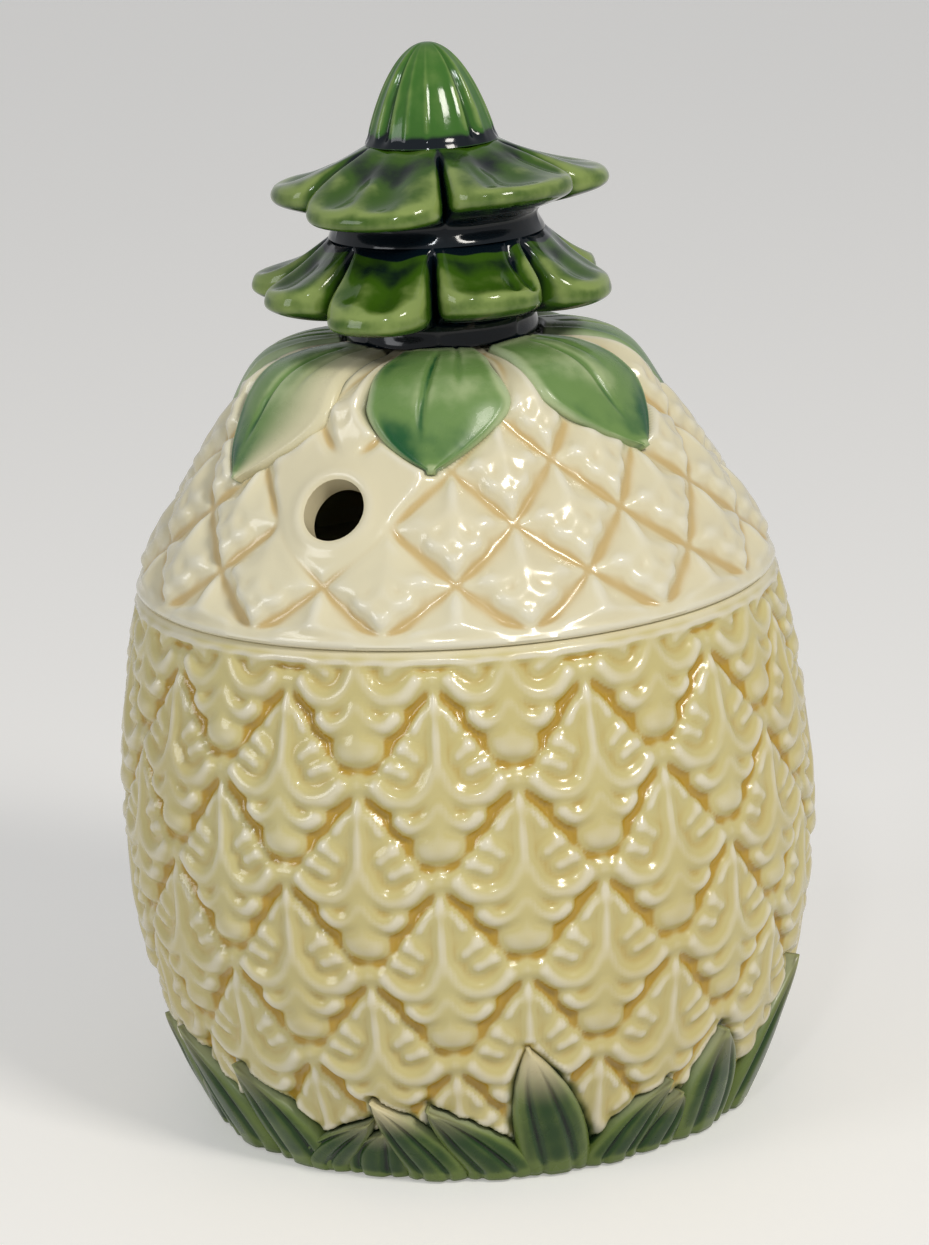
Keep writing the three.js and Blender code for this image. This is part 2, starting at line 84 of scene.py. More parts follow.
def meshFrom(form, name):
    mesh = bpy.data.meshes.new(name)
    form.to_mesh(mesh)
    form.free()
    return mesh


def spun(points, cuts, columns):
    # a closed form turned from a short chain of vertices; cuts says how finely each link is divided
    form = bmesh.new()
    chain = [form.verts.new((radius, 0, height)) for radius, height in points]
    links = [form.edges.new(pair) for pair in zip(chain, chain[1:])]
    for link, extra in zip(links, cuts):
        if extra:
            bmesh.ops.subdivide_edges(form, edges=[link], cuts=extra)
    # an eighth is spun and doubled three times, which is much quicker than one full spin
    eighth = math.pi / 4
    bmesh.ops.spin(form, geom=form.verts[:] + form.edges[:], cent=(0, 0, 0), axis=(0, 0, 1),
                   dvec=(0, 0, 0), angle=eighth, steps=columns // 8, use_merge=False,
                   use_normal_flip=False, use_duplicate=False)
    for eighths in (1, 2, 4):
        copy = bmesh.ops.duplicate(form, geom=form.verts[:] + form.edges[:] + form.faces[:])["geom"]
        moved = [item for item in copy if isinstance(item, bmesh.types.BMVert)]
        turn = Matrix.Rotation(eighth * eighths, 3, "Z")
        bmesh.ops.rotate(form, verts=moved, cent=(0, 0, 0), matrix=turn)
    bmesh.ops.remove_doubles(form, verts=form.verts[:], dist=0.001)
    bmesh.ops.recalc_face_normals(form, faces=form.faces[:])
    return form


def pointsOf(mesh):
    flat = np.empty(len(mesh.vertices) * 3)
    mesh.vertices.foreach_get("co", flat)
    return flat.reshape(-1, 3)


def setPoints(mesh, points):
    mesh.vertices.foreach_set("co", np.ascontiguousarray(points).ravel())
    mesh.update()


def polar(points):
    # azimuth, radius and height of each point
    x, y, z = points.T
    return np.degrees(np.arctan2(x, -y)), np.hypot(x, y), z


def fromPolar(azimuth, radius, height):
    turn = np.radians(azimuth)
    return np.stack([radius * np.sin(turn), -radius * np.cos(turn), height], axis=-1)


def setAttribute(mesh, name, values):
    layer = mesh.attributes.get(name) or mesh.attributes.new(name, "FLOAT", "POINT")
    layer.data.foreach_set("value", np.ascontiguousarray(values, dtype=np.float32))


def attributeOf(mesh, name):
    values = np.empty(len(mesh.vertices), dtype=np.float32)
    mesh.attributes[name].data.foreach_get("value", values)
    return values


def addHollowsAndShade(mesh, spread, extra=0):
    # how deep each point lies under its surroundings, in mm: above 0 in hollows, below 0 on ridges, plus
    # the given extra, which in places is painted shade
    points = pointsOf(mesh)
    normals = np.empty(len(points) * 3)
    mesh.vertices.foreach_get("normal", normals)
    normals = normals.reshape(-1, 3)
    ends = np.empty(len(mesh.edges) * 2, dtype=np.int32)
    mesh.edges.foreach_get("vertices", ends)
    ends = ends.reshape(-1, 2)
    a, b = np.concatenate([ends, ends[:, ::-1]]).T
    length = np.linalg.norm(points[ends[:, 0]] - points[ends[:, 1]], axis=1).mean()
    links = np.maximum(np.bincount(a, minlength=len(points)), 1)
    spreadOut = points.copy()
    for step in range(max(2, round(2 * (spread / length) ** 2))):
        sums = [np.bincount(a, spreadOut[b, axis], len(points)) for axis in range(3)]
        spreadOut = np.stack(sums, axis=1) / links[:, None]
    setAttribute(mesh, "hollowAndShade", np.clip(((spreadOut - points) * normals).sum(axis=1), -1, 1) + extra)


def finished(name, mesh, material, body, replaced):
    mesh.transform(Matrix.Scale(0.001, 4))
    mesh.shade_smooth()
    piece = bpy.data.objects.new(name, mesh)
    bpy.context.scene.collection.objects.link(piece)
    mesh.materials.append(material)
    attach(piece, body)
    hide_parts(*replaced)


class NodeTools:
    # short ways to add nodes to one tree, and to feed them numbers, colours or other nodes
    def __init__(self, tree):
        self.tree = tree

    def add(self, kind, **values):
        node = self.tree.nodes.new(kind)
        for key, value in values.items():
            setattr(node, key, value)
        return node

    def feed(self, socket, value):
        if isinstance(value, (int, float, tuple)):
            socket.default_value = value
        else:
            self.tree.links.new(value, socket)

    def maths(self, operation, first, second=0.0):
        node = self.add("ShaderNodeMath", operation=operation)
        self.feed(node.inputs[0], first)
        self.feed(node.inputs[1], second)
        return node.outputs[0]

    def ramp(self, value, low, high):
        node = self.add("ShaderNodeMapRange", interpolation_type="SMOOTHSTEP")
        self.feed(node.inputs["Value"], value)
        self.feed(node.inputs["From Min"], low)
        self.feed(node.inputs["From Max"], high)
        return node.outputs["Result"]

    def blend(self, share, first, second):
        node = self.add("ShaderNodeMix", data_type="RGBA")
        self.feed(node.inputs[0], share)
        self.feed(node.inputs[6], first)
        self.feed(node.inputs[7], second)
        return node.outputs[2]

    def blendNumber(self, share, first, second):
        node = self.add("ShaderNodeMix", data_type="FLOAT")
        self.feed(node.inputs[0], share)
        self.feed(node.inputs[2], first)
        self.feed(node.inputs[3], second)
        return node.outputs[0]


# what the kiln does to every glaze: scales of its noises, and how strongly each one shows
firing = {
    "level": 0.02,  # mm of hollow or ridge below which a glaze keeps its body colour
    "washScale": 38.0, "washFrom": 0.25, "washTo": 0.8, "wash": 0.16,
    "speckScale": 1500.0, "speckFrom": 0.7, "speckTo": 0.78, "speck": 0.12,
    "mattScale": 220.0, "matt": 0.1, "leastRoughness": 0.05,
    "rippleScale": 150.0, "fineRippleScale": 600.0, "fineRipple": 0.25, "rippleHeight": 0.0006,
    "coatRoughness": 0.04, "glassIor": 1.5,
}


def buildFiredGlaze():
    # colour of a glaze that thins on ridges and pools in hollows, with slow drifts from the kiln; painted
    # shade given in the hollow input is drawn in the pooled colour too
    group = bpy.data.node_groups.new("firedGlaze", "ShaderNodeTree")
    sockets = [
        ("INPUT", "NodeSocketColor", ("Thin Colour", "Body Colour", "Pooled And Shade Colour")),
        ("INPUT", "NodeSocketFloat", ("Hollow And Shade", "Thin Reach", "Pool And Shade Reach", "Drift", "Drift Scale")),
        ("OUTPUT", "NodeSocketColor", ("Colour",)),
        ("OUTPUT", "NodeSocketFloat", ("Roughness", "Height")),
    ]
    for way, kind, names in sockets:
        for name in names:
            group.interface.new_socket(name, in_out=way, socket_type=kind)
    made = NodeTools(group)
    given = made.add("NodeGroupInput").outputs
    put = made.add("NodeGroupOutput").inputs
    place = made.add("ShaderNodeTexCoord").outputs["Object"]

    def noise(scale, detail):
        node = made.add("ShaderNodeTexNoise")
        made.feed(node.inputs["Vector"], place)
        made.feed(node.inputs["Scale"], scale)
        made.feed(node.inputs["Detail"], detail)
        return node.outputs["Fac"]

    drift = made.maths("SUBTRACT", noise(given["Drift Scale"], 3.0), 0.5)
    lie = made.maths("ADD", given["Hollow And Shade"], made.maths("MULTIPLY", drift, given["Drift"]))
    pooledAndShaded = made.ramp(lie, firing["level"], given["Pool And Shade Reach"])
    thin = made.ramp(made.maths("MULTIPLY", lie, -1.0), firing["level"], given["Thin Reach"])
    colour = made.blend(pooledAndShaded, given["Body Colour"], given["Pooled And Shade Colour"])
    colour = made.blend(thin, colour, given["Thin Colour"])
    for kind, detail in (("wash", 4.0), ("speck", 2.0)):
        share = made.ramp(noise(firing[kind + "Scale"], detail), firing[kind + "From"], firing[kind + "To"])
        colour = made.blend(made.maths("MULTIPLY", share, firing[kind]), colour, given["Pooled And Shade Colour"])
    made.feed(put["Colour"], colour)
    matt = made.maths("MULTIPLY", noise(firing["mattScale"], 3.0), firing["matt"])
    made.feed(put["Roughness"], made.maths("ADD", matt, firing["leastRoughness"]))
    fine = made.maths("MULTIPLY", noise(firing["fineRippleScale"], 2.0), firing["fineRipple"])
    made.feed(put["Height"], made.maths("ADD", noise(firing["rippleScale"], 2.0), fine))
    return group


firedGlaze = buildFiredGlaze()


class GlazeTree(NodeTools):
    # a material with the fired glaze in it, over which more colours can be laid
    def __init__(self, name, glaze, surface):
        self.material = bpy.data.materials.new(name)
        self.material.use_nodes = True
        super().__init__(self.material.node_tree)
        self.shader = self.tree.nodes["Principled BSDF"]
        fired = self.add("ShaderNodeGroup", node_tree=firedGlaze)
        for socket, value in glaze.items():
            fired.inputs[socket].default_value = value
        self.feed(fired.inputs["Hollow And Shade"], self.attribute("hollowAndShade"))
        self.colour = fired.outputs["Colour"]
        self.roughness = self.maths("ADD", fired.outputs["Roughness"], surface["moreRoughness"])
        bump = self.add("ShaderNodeBump")
        bump.inputs["Strength"].default_value = surface["ripple"]
        bump.inputs["Distance"].default_value = firing["rippleHeight"]
        self.feed(bump.inputs["Height"], fired.outputs["Height"])
        self.feed(self.shader.inputs["Normal"], bump.outputs["Normal"])
        self.shader.inputs["Specular IOR Level"].default_value = surface["shine"]
        self.shader.inputs["Coat Weight"].default_value = surface["coat"]
        self.shader.inputs["Coat Roughness"].default_value = firing["coatRoughness"]
        self.shader.inputs["IOR"].default_value = firing["glassIor"]

    def attribute(self, name):
        return self.add("ShaderNodeAttribute", attribute_name=name).outputs["Fac"]

    def over(self, share, colour):
        self.colour = self.blend(share, self.colour, colour)

    def done(self):
        self.feed(self.shader.inputs["Base Color"], self.colour)
        self.feed(self.shader.inputs["Roughness"], self.roughness)
        return self.material


cream = {
    "Thin Colour": (0.81, 0.76, 0.58, 1),
    "Body Colour": (0.64, 0.565, 0.25, 1),
    "Pooled And Shade Colour": (0.48, 0.30, 0.03, 1),
    "Thin Reach": 0.36, "Pool And Shade Reach": 0.6, "Drift": 0.14, "Drift Scale": 70.0,
}
lidCream = {
    "Thin Colour": (0.83, 0.79, 0.62, 1),
    "Body Colour": (0.79, 0.73, 0.51, 1),
    "Pooled And Shade Colour": (0.62, 0.46, 0.20, 1),
    "Thin Reach": 0.3, "Pool And Shade Reach": 0.4, "Drift": 0.14, "Drift Scale": 70.0,
}
crownGreen = {
    "Thin Colour": (0.27, 0.36, 0.10, 1),
    "Body Colour": (0.042, 0.108, 0.006, 1),
    "Pooled And Shade Colour": (0.002, 0.006, 0.010, 1),
    "Thin Reach": 0.5, "Pool And Shade Reach": 0.55, "Drift": 0.65, "Drift Scale": 240.0,
}
budGreen = {
    "Thin Colour": (0.24, 0.36, 0.10, 1),
    "Body Colour": (0.05, 0.16, 0.02, 1),
    "Pooled And Shade Colour": (0.002, 0.006, 0.010, 1),
    "Thin Reach": 0.35, "Pool And Shade Reach": 0.55, "Drift": 0.3, "Drift Scale": 240.0,
}
domeLeafGreen = {
    "Thin Colour": (0.42, 0.52, 0.26, 1),
    "Body Colour": (0.17, 0.29, 0.085, 1),
    "Pooled And Shade Colour": (0.012, 0.095, 0.028, 1),
    "Thin Reach": 0.34, "Pool And Shade Reach": 0.36, "Drift": 0.6, "Drift Scale": 150.0,
}
footLeafGreen = {
    "Thin Colour": (0.15, 0.21, 0.05, 1),
    "Body Colour": (0.019, 0.060, 0.010, 1),
    "Pooled And Shade Colour": (0.002, 0.008, 0.004, 1),
    "Thin Reach": 0.5, "Pool And Shade Reach": 0.4, "Drift": 0.5, "Drift Scale": 160.0,
}
creamSurface = {
    "ripple": 0.1, "shine": 0.5, "coat": 0.2, "moreRoughness": 0.11,
    "greenWashAndShade": (0.02, 0.05, 0.018, 1), "bareClay": (0.70, 0.60, 0.46, 1), "bareRoughness": 0.75,
}
leafSurface = {"ripple": 0.1, "shine": 0.25, "coat": 0.08, "moreRoughness": 0.18, "edgeFrom": 0.82}
crownSurface = {"ripple": 0.16, "shine": 0.25, "coat": 0.12, "moreRoughness": 0.0}
domeLeafEdge, domeLeafTip = (0.50, 0.60, 0.38, 1), (0.81, 0.73, 0.50, 1)
footLeafEdge, footLeafTip = (0.34, 0.42, 0.25, 1), (0.80, 0.70, 0.44, 1)


def creamMaterial(name, glaze):
    # the cream takes green glaze beside the leaves, with a dark green there that is partly painted shade,
    # and the clay is bare where the ware stood in the kiln
    made = GlazeTree(name, glaze, creamSurface)
    made.over(made.attribute("greenAndShade"), creamSurface["greenWashAndShade"])
    bare = made.attribute("bare")
    made.over(bare, creamSurface["bareClay"])
    made.roughness = made.blendNumber(bare, made.roughness, creamSurface["bareRoughness"])
    glazed = made.maths("SUBTRACT", 1.0, bare)
    made.feed(made.shader.inputs["Coat Weight"], made.maths("MULTIPLY", glazed, creamSurface["coat"]))
    return made.done()


def leafMaterial(name, glaze, edgeColour, tipColour):
    # milky edges along both sides of a leaf, and cream where its green runs out
    made = GlazeTree(name, glaze, leafSurface)
    side = made.ramp(made.maths("ABSOLUTE", made.attribute("across")), leafSurface["edgeFrom"], 1.0)
    made.over(made.maths("MULTIPLY", side, made.attribute("milk")), edgeColour)
    made.over(made.attribute("fade"), tipColour)
    return made.done()


cupGlaze = creamMaterial("creamGlaze", cream)
lidGlaze = creamMaterial("lidCreamGlaze", lidCream)
crownGlaze = GlazeTree("crownGlaze", crownGreen, crownSurface).done()
budGlaze = GlazeTree("budGlaze", budGreen, crownSurface).done()
domeLeafGlaze = leafMaterial("domeLeafGlaze", domeLeafGreen, domeLeafEdge, domeLeafTip)
footLeafGlaze = leafMaterial("footLeafGlaze", footLeafGreen, footLeafEdge, footLeafTip)
print("glazes mixed")

# An eye is drawn in halves of its own width and height: x from 0 at its keel to 1 at its side, and y
# from 0 at its apex to 2 at its foot. Widths and heights of the clay are in mm, and 0 is near the top.
eyes = {
    "around": 14, "halfWide": 12.7, "cupHalfTall": 15.6, "lidHalfTall": 7.9,
    "pixel": 0.12,  # step of the drawn carving
    "valley": -2.3, "face": -1.1, "rollPower": 2.1, "lobePower": 2.5,
    "meeting": 5,  # how sharply neighbouring rolls meet
    "lean": 0.35,  # each eye leans out like a scale, lowest at its apex
    "bridge": -0.45, "bridgeWide": 3.2, "bridgeTall": 2.0, "bridgeLow": 0.04,
    "sink": 0.1, "cupBlur": 0.4,
}

# each roll of clay: points from the keel outwards, half width at its start and end, height of its top
cupRolls = [
    ([(0, 0.10), (0, 0.45), (0, 0.85)], 0.9, 1.6, 0.05),
    ([(0, 0.85), (0, 1.25), (0, 1.6)], 2.0, 2.3, -0.1),
    ([(0.13, 0.36), (0.20, 0.42), (0.26, 0.49)], 1.6, 1.7, -0.2),
    ([(0.48, 0.66), (0.38, 0.72), (0.27, 0.79)], 1.8, 1.5, -0.05),
    ([(0.69, 0.83), (0.56, 0.88), (0.42, 0.93)], 1.7, 1.5, -0.05),
    ([(0.04, 0.95), (0.14, 1.11), (0.28, 1.19), (0.42, 1.215), (0.62, 1.17), (0.81, 1.03)], 1.9, 1.6, 0.1),
    ([(0.04, 1.28), (0.13, 1.40), (0.25, 1.45), (0.37, 1.45), (0.47, 1.39)], 1.8, 1.45, 0.05),
]
cupTip = {"down": 1.67, "halfWide": 3.6, "halfTall": 2.5, "top": 0.05}
lidRolls = [
    ([(0, 0.35), (0, 0.7), (0, 1.1)], 1.6, 2.2, 0.0),
    ([(0.06, 0.75), (0.22, 0.92), (0.42, 0.98), (0.62, 0.9)], 1.7, 1.5, 0.0),
    ([(0.05, 1.2), (0.18, 1.35), (0.36, 1.33)], 1.7, 1.4, 0.0),
]
lidTip = {"down": 1.62, "halfWide": 2.4, "halfTall": 1.5, "top": 0.0}
# the lid's eyes are plain panels between grooves, with the ribs left as soft lumps
lidPanel = {"rise": 1.1, "groove": -1.35, "slope": 1.8, "blur": 0.35, "grooveWide": 1.1,
            "lumps": 1.3, "lumpLevel": 0.95, "lumpBlur": 0.8, "fadeBlur": 0.5}


def rollHeight(x, y, tall, points, start, end, top):
    line = curveThrough(points, 6) * (eyes["halfWide"], tall)
    nearest, along = np.full(x.shape, farAway), np.zeros(x.shape)
    for i, (a, b) in enumerate(zip(line, line[1:])):
        run = b - a
        share = np.clip(((x - a[0]) * run[0] + (y - a[1]) * run[1]) / (run @ run), 0, 1)
        away = np.hypot(x - a[0] - share * run[0], y - a[1] - share * run[1])
        along = np.where(away < nearest, (i + share) / (len(line) - 1), along)
        nearest = np.minimum(nearest, away)
    return top + eyes["face"] * (nearest / mix(start, end, along)) ** eyes["rollPower"]


def inLattice(across, down):
    left, right = np.floor((down + across) / 2), np.floor((down - across) / 2)
    return across - (left - right), down - (left + right)


def carveEye(rolls, tip, tall):
    # height of the carving over one repeat of the lattice, and distance in mm from its grooves
    wide, valley, face, meeting = (eyes[key] for key in ("halfWide", "valley", "face", "meeting"))
    columns, rows = (np.arange(0, 2 * size, eyes["pixel"]) / size for size in (wide, tall))
    x, y = inLattice(*np.meshgrid(columns, rows))
    x = np.abs(x)
    slant = wide * tall / math.hypot(wide, tall)
    fromAbove, fromBelow = (y - x) * slant, (2 - y - np.hypot(x, 0.12)) * slant

    def softMax(heights):
        return np.log(sum(np.exp(meeting * h) for h in heights)) / meeting

    def lowRolls(x, y):
        # the last two ribs and the tip lobe, whose ends may stand over the valley below them
        side = np.abs(x) * wide
        lobe = (side / tip["halfWide"]) ** eyes["lobePower"]
        lobe = lobe + (np.abs(y - tip["down"]) * tall / tip["halfTall"]) ** eyes["lobePower"]
        ribs = [rollHeight(side, y * tall, tall, *roll) for roll in rolls[-2:]]
        return ribs + [tip["top"] + face * lobe]

    base = mix(valley, face + 0.3 * smooth(y, 1.0, 0.6), smooth(fromBelow, 0.3, 2.4))
    upperRolls = [rollHeight(x * wide, y * tall, tall, *roll) for roll in rolls[:-2]]
    own = softMax([base] + upperRolls + lowRolls(x, y))
    own = mix(valley, own + eyes["lean"] * (y - 1), smooth(fromAbove, 0.1, 2.3))
    height = softMax([own] + [roll + eyes["lean"] * y for roll in lowRolls(1 - x, y + 1)])
    # the lattice points bridge sideways, just under the pool below the eye above them
    low = eyes["bridgeLow"]
    corners = [(x, y - low), (1 - x, y - 1 - low), (x, y - 2 - low)]
    squares = [(u * wide / eyes["bridgeWide"]) ** 2 + (v * tall / eyes["bridgeTall"]) ** 2
               for u, v in corners]
    bridge = np.exp(-np.minimum.reduce(squares))
    edge = np.minimum(fromAbove, (2 - y - x) * slant)
    return mix(height, np.maximum(height, eyes["bridge"]), bridge) - eyes["sink"], edge


def blurred(grid, spread):
    rows, columns = (np.fft.fftfreq(size, eyes["pixel"]) for size in grid.shape)
    reach = np.exp(-2 * (math.pi * spread) ** 2 * (rows[:, None] ** 2 + columns[None, :] ** 2))
    return np.fft.ifft2(np.fft.fft2(grid) * reach).real


def sampled(grid, across, down):
    rows, columns = grid.shape
    x, y = (across % 2) / 2 * columns, (down % 2) / 2 * rows
    left, top = np.floor(x).astype(int), np.floor(y).astype(int)
    u, v = x - left, y - top

    def corner(below, right):
        return grid[(top + below) % rows, (left + right) % columns]

    return mix(mix(corner(0, 0), corner(0, 1), u), mix(corner(1, 0), corner(1, 1), u), v)


cupCarving = blurred(carveEye(cupRolls, cupTip, eyes["cupHalfTall"])[0], eyes["cupBlur"])
lidHeight, lidEdge = carveEye(lidRolls, lidTip, eyes["lidHalfTall"])
lidPanels = blurred(lidPanel["rise"] * smooth(lidEdge, 0, lidPanel["slope"]) + lidPanel["groove"],
                    lidPanel["blur"])
lidLumps = lidPanel["lumps"] * blurred(lidHeight + lidPanel["lumpLevel"], lidPanel["lumpBlur"])
lidLumps = lidLumps * blurred(smooth(lidEdge, 0.4, 2.0), lidPanel["fadeBlur"])
lidGrooves = blurred(smooth(lidEdge, lidPanel["grooveWide"], 0.1), lidPanel["blur"])
print("eyes carved")

cup = {
    "footRadius": 45.2, "bellyRadius": 57.6, "bellyHeight": 50, "rimRadius": 52.6, "rimHeight": 89.4,
    "underside": [(0, 2), (33.4, 2), (35.4, 0), (41.4, 0)],  # radius and height, from the axis out
    "mouthRadius": 47.8, "mouthBottom": 84, "insideHeights": (72, 60, 48, 36, 27, 20),
    "rounding": 1.6, "wall": 5.8, "floor": 6.6, "floorRounding": 12,
    "rowHeight": 85.7, "turn": -4.2,  # where the lattice of eyes hangs
    "rows": 160, "columns": 504, "leafSeat": 2.2,
    "hollowSpread": 1.5, "pool": 0.7, "poolFrom": 1.05, "poolTo": 2.1,
}
footLeaf = {
    # azimuth of root and tip, height of the tip in mm and width in degrees, for half of the foot
    "tall": [(-31, -41, 20, 20), (-13, -23, 18, 18), (-9, 5, 11.5, 13), (16, 6, 15.7, 13),
             (29, 16, 14.5, 15), (40, 34, 25, 15), (52, 62, 14, 13), (76, 74, 20, 18),
             (92, 102, 24, 16), (121, 128, 19, 20)],
    # azimuth of the root and height of the tip
    "short": [(3, 9.5), (62, 10.5), (106, 11), (134, 10)],
    "shortLean": 4, "shortWidth": 15, "root": 1.8, "mmPerDegree": 0.9, "across": 32, "along": 40,
    # heights of a blade over the wall behind it, in mm
    "edge": -1.3, "bulge": 2.3, "grooveDepth": 0.7, "tipLift": 0.5, "shortSink": 0.5, "back": -3.6,
    "grooves": (-0.45, 0.38), "grooveWide": 0.1, "milk": 0.7,
    "pale": 0.25, "palest": {15.7: 0.85, 25: 0.9},  # how cream a tip is, here by its height
    # radius and height of the band that the leaves grow from, round the foot
    "band": [(39.5, 0.9), (43.4, 0.9), (44.2, 2.0), (44.9, 3.8), (44.6, 5.6), (41.5, 6.4), (39.5, 5),
             (39.5, 0.9)],
}
tallLeaves = [(root + turn, tip + turn, top, width)
              for turn in (0, 180) for root, tip, top, width in footLeaf["tall"]]
shortLeaves = [(root + turn, root + turn + footLeaf["shortLean"], top, footLeaf["shortWidth"])
               for turn in (0, 180) for root, top in footLeaf["short"]]
footLeaves = tallLeaves + shortLeaves


def cupOutline(height):
    foot, belly, rim = cup["footRadius"], cup["bellyRadius"], cup["rimRadius"]
    middle, top = cup["bellyHeight"], cup["rimHeight"]
    below = mix(belly, foot, ((middle - height) / middle) ** 2)
    above = mix(belly, rim, ((height - middle) / (top - middle)) ** 2)
    return np.where(height < middle, below, above)


def footBlade(leaf, height):
    # azimuth of a foot leaf's middle and half of its width in degrees, at a height
    root, tip, top, width = leaf
    share = np.clip((height - footLeaf["root"]) / (top - footLeaf["root"]), 0, 1)
    return mix(root, tip, share ** 1.2), width / 2 * np.maximum(1 - share ** 2.4, 0.05)


def fromFootLeaves(azimuth, height):
    # distance in mm from the nearest foot leaf, below 0 inside it
    nearest = np.full(azimuth.shape, farAway)
    for leaf in footLeaves:
        middle, half = footBlade(leaf, height)
        beside = (np.abs(angleBetween(azimuth, middle)) - half) * footLeaf["mmPerDegree"]
        above = height - leaf[2]
        nearest = np.minimum(nearest, np.where(above > 0, np.hypot(np.maximum(beside, 0), above), beside))
    return nearest


def carved(azimuth, height, rowHeight, halfTall, turn, *grids):
    across = (azimuth - turn) / (180 / eyes["around"])
    down = (rowHeight - height) / halfTall
    # each eye sits a little its own way, as pressed clay does
    across = across + 0.022 * np.sin(height * 0.13 + azimuth * 0.09)
    across = across + 0.015 * np.sin(azimuth * 0.21 - height * 0.07)
    down = down + 0.02 * np.sin(azimuth * 0.17 + height * 0.05)
    return [sampled(grid, across, down) for grid in grids]


def cupProfile():
    # the outline from the axis below to the axis inside, and how finely each link of it is divided
    c = cup
    wallTop = c["rimHeight"] - c["rounding"]
    points = c["underside"] + [(c["footRadius"] - c["leafSeat"], c["rounding"]), (c["rimRadius"], wallTop)]
    cuts = [3, 0, 2, 1, c["rows"]]
    points += arc(c["rimRadius"] - c["rounding"], wallTop, c["rounding"], 0, 90, 5)[1:]
    points += arc(c["mouthRadius"] + c["rounding"], wallTop, c["rounding"], 90, 180, 5)
    points += [(c["mouthRadius"], c["mouthBottom"])]
    points += [(float(cupOutline(height)) - c["wall"], height) for height in c["insideHeights"]]
    floorRadius = float(cupOutline(c["floor"])) - c["wall"] - c["floorRounding"]
    for turn in (1.4, 1.1, 0.8, 0.5, 0.25):
        radius = floorRadius + 11.2 * math.sin(turn) + 2.2 * math.sin(turn) ** 4
        points.append((radius, c["floor"] + c["floorRounding"] * (1 - math.cos(turn))))
    points += [(floorRadius, c["floor"]), (0, c["floor"])]
    return points, cuts + [0] * (len(points) - len(cuts) - 2) + [4]


def makeCup():
    c = cup
    mesh = meshFrom(spun(*cupProfile(), c["columns"]), "cupBody")
    azimuth, radius, height = polar(pointsOf(mesh))
    azimuth = azimuth + c["turn"]
    wallBottom, wallTop = c["rounding"], c["rimHeight"] - c["rounding"]
    share = (height - wallBottom) / (wallTop - wallBottom)
    straight = mix(c["footRadius"] - c["leafSeat"], c["rimRadius"], share)
    outer = (height > wallBottom - onLine) & (height < wallTop + onLine)
    outer = outer & (np.abs(radius - straight) < onLine)
    away = fromFootLeaves(azimuth, height)
    relief = carved(azimuth, height, c["rowHeight"], eyes["cupHalfTall"], c["turn"], cupCarving)[0]
    relief = mix(-c["leafSeat"], relief, smooth(away, -1.0, 1.6) * smooth(height, 4, 7))
    relief = mix(relief, 0, smooth(height, c["rimHeight"] - 2.6, c["rimHeight"] - 1.4))
    lean = np.arctan(cupOutline(height + 0.5) - cupOutline(height - 0.5))
    radius = np.where(outer, cupOutline(height) + relief * np.cos(lean), radius)
    height = np.where(outer, height - relief * np.sin(lean) * smooth(height, 1.6, 8), height)
    setPoints(mesh, fromPolar(azimuth, radius, height))
    pool = c["pool"] * smooth(-relief, c["poolFrom"], c["poolTo"]) * outer * smooth(away, 0, 2)
    addHollowsAndShade(mesh, c["hollowSpread"], pool)
    inside = ~outer & (height > 2.5) & (height < wallTop - 1)
    setAttribute(mesh, "hollowAndShade", np.where(inside, evenHollow, attributeOf(mesh, "hollowAndShade")))
    # green runs a little past the leaves and covers the wall behind and under them; low on the foot it
    # fills the gaps between the leaves as painted shade
    ragged = away + 0.5 * np.sin(azimuth * 0.9) * np.sin(height)
    greenAndShade = smooth(ragged, 1.4, -0.3) * smooth(height, 26, 20)
    greenAndShade = np.maximum(greenAndShade, smooth(height, 9.5, 5.5) * smooth(away, 4.5, 0.5)) * outer
    setAttribute(mesh, "greenAndShade", np.maximum(greenAndShade, outer * smooth(height, 6.5, 4)))
    setAttribute(mesh, "bare", smooth(height, 0.8, 0.2))
    finished("cupBody", mesh, cupGlaze, "cup", ["cup_body"])


makeCup()
print("cup made")


def makeBlades(name, blades, across, along, place, facts):
    # thin slabs bent to leaves: place(leaf, u, v, front) gives azimuth, radius and height in arrays
    keys = ("across", "along", "front", "leaf")
    form = bmesh.new()
    layers = {key: form.verts.layers.float.new(key) for key in keys}
    for number in range(len(blades)):
        grid = bmesh.ops.create_grid(form, x_segments=across, y_segments=along, size=1)["verts"]
        for vertex in grid:
            vertex[layers["across"]], vertex[layers["along"]] = vertex.co.x, (vertex.co.y + 1) / 2
            vertex[layers["leaf"]] = number
        faces = list({face for vertex in grid for face in vertex.link_faces})
        front = bmesh.ops.extrude_face_region(form, geom=faces, use_keep_orig=True)["geom"]
        raised = [item for item in front if isinstance(item, bmesh.types.BMVert)]
        for vertex in raised:
            vertex[layers["front"]] = 1
            vertex.co.z = 0.2  # any thickness, until place sets the real one
    bmesh.ops.recalc_face_normals(form, faces=form.faces[:])
    mesh = meshFrom(form, name)
    read = {key: attributeOf(mesh, key) for key in keys}
    points = pointsOf(mesh)
    values = {key: np.zeros(len(points)) for key in facts}
    for number, leaf in enumerate(blades):
        mine = read["leaf"] == number
        u, v, front = (read[key][mine].astype(float) for key in ("across", "along", "front"))
        azimuth, radius, height = place(leaf, u, v, front > 0.5)
        points[mine] = fromPolar(azimuth, radius, height)
        for key, fact in facts.items():
            values[key][mine] = fact(leaf, u, v)
    setPoints(mesh, points)
    for key, value in values.items():
        setAttribute(mesh, key, value)
    return mesh


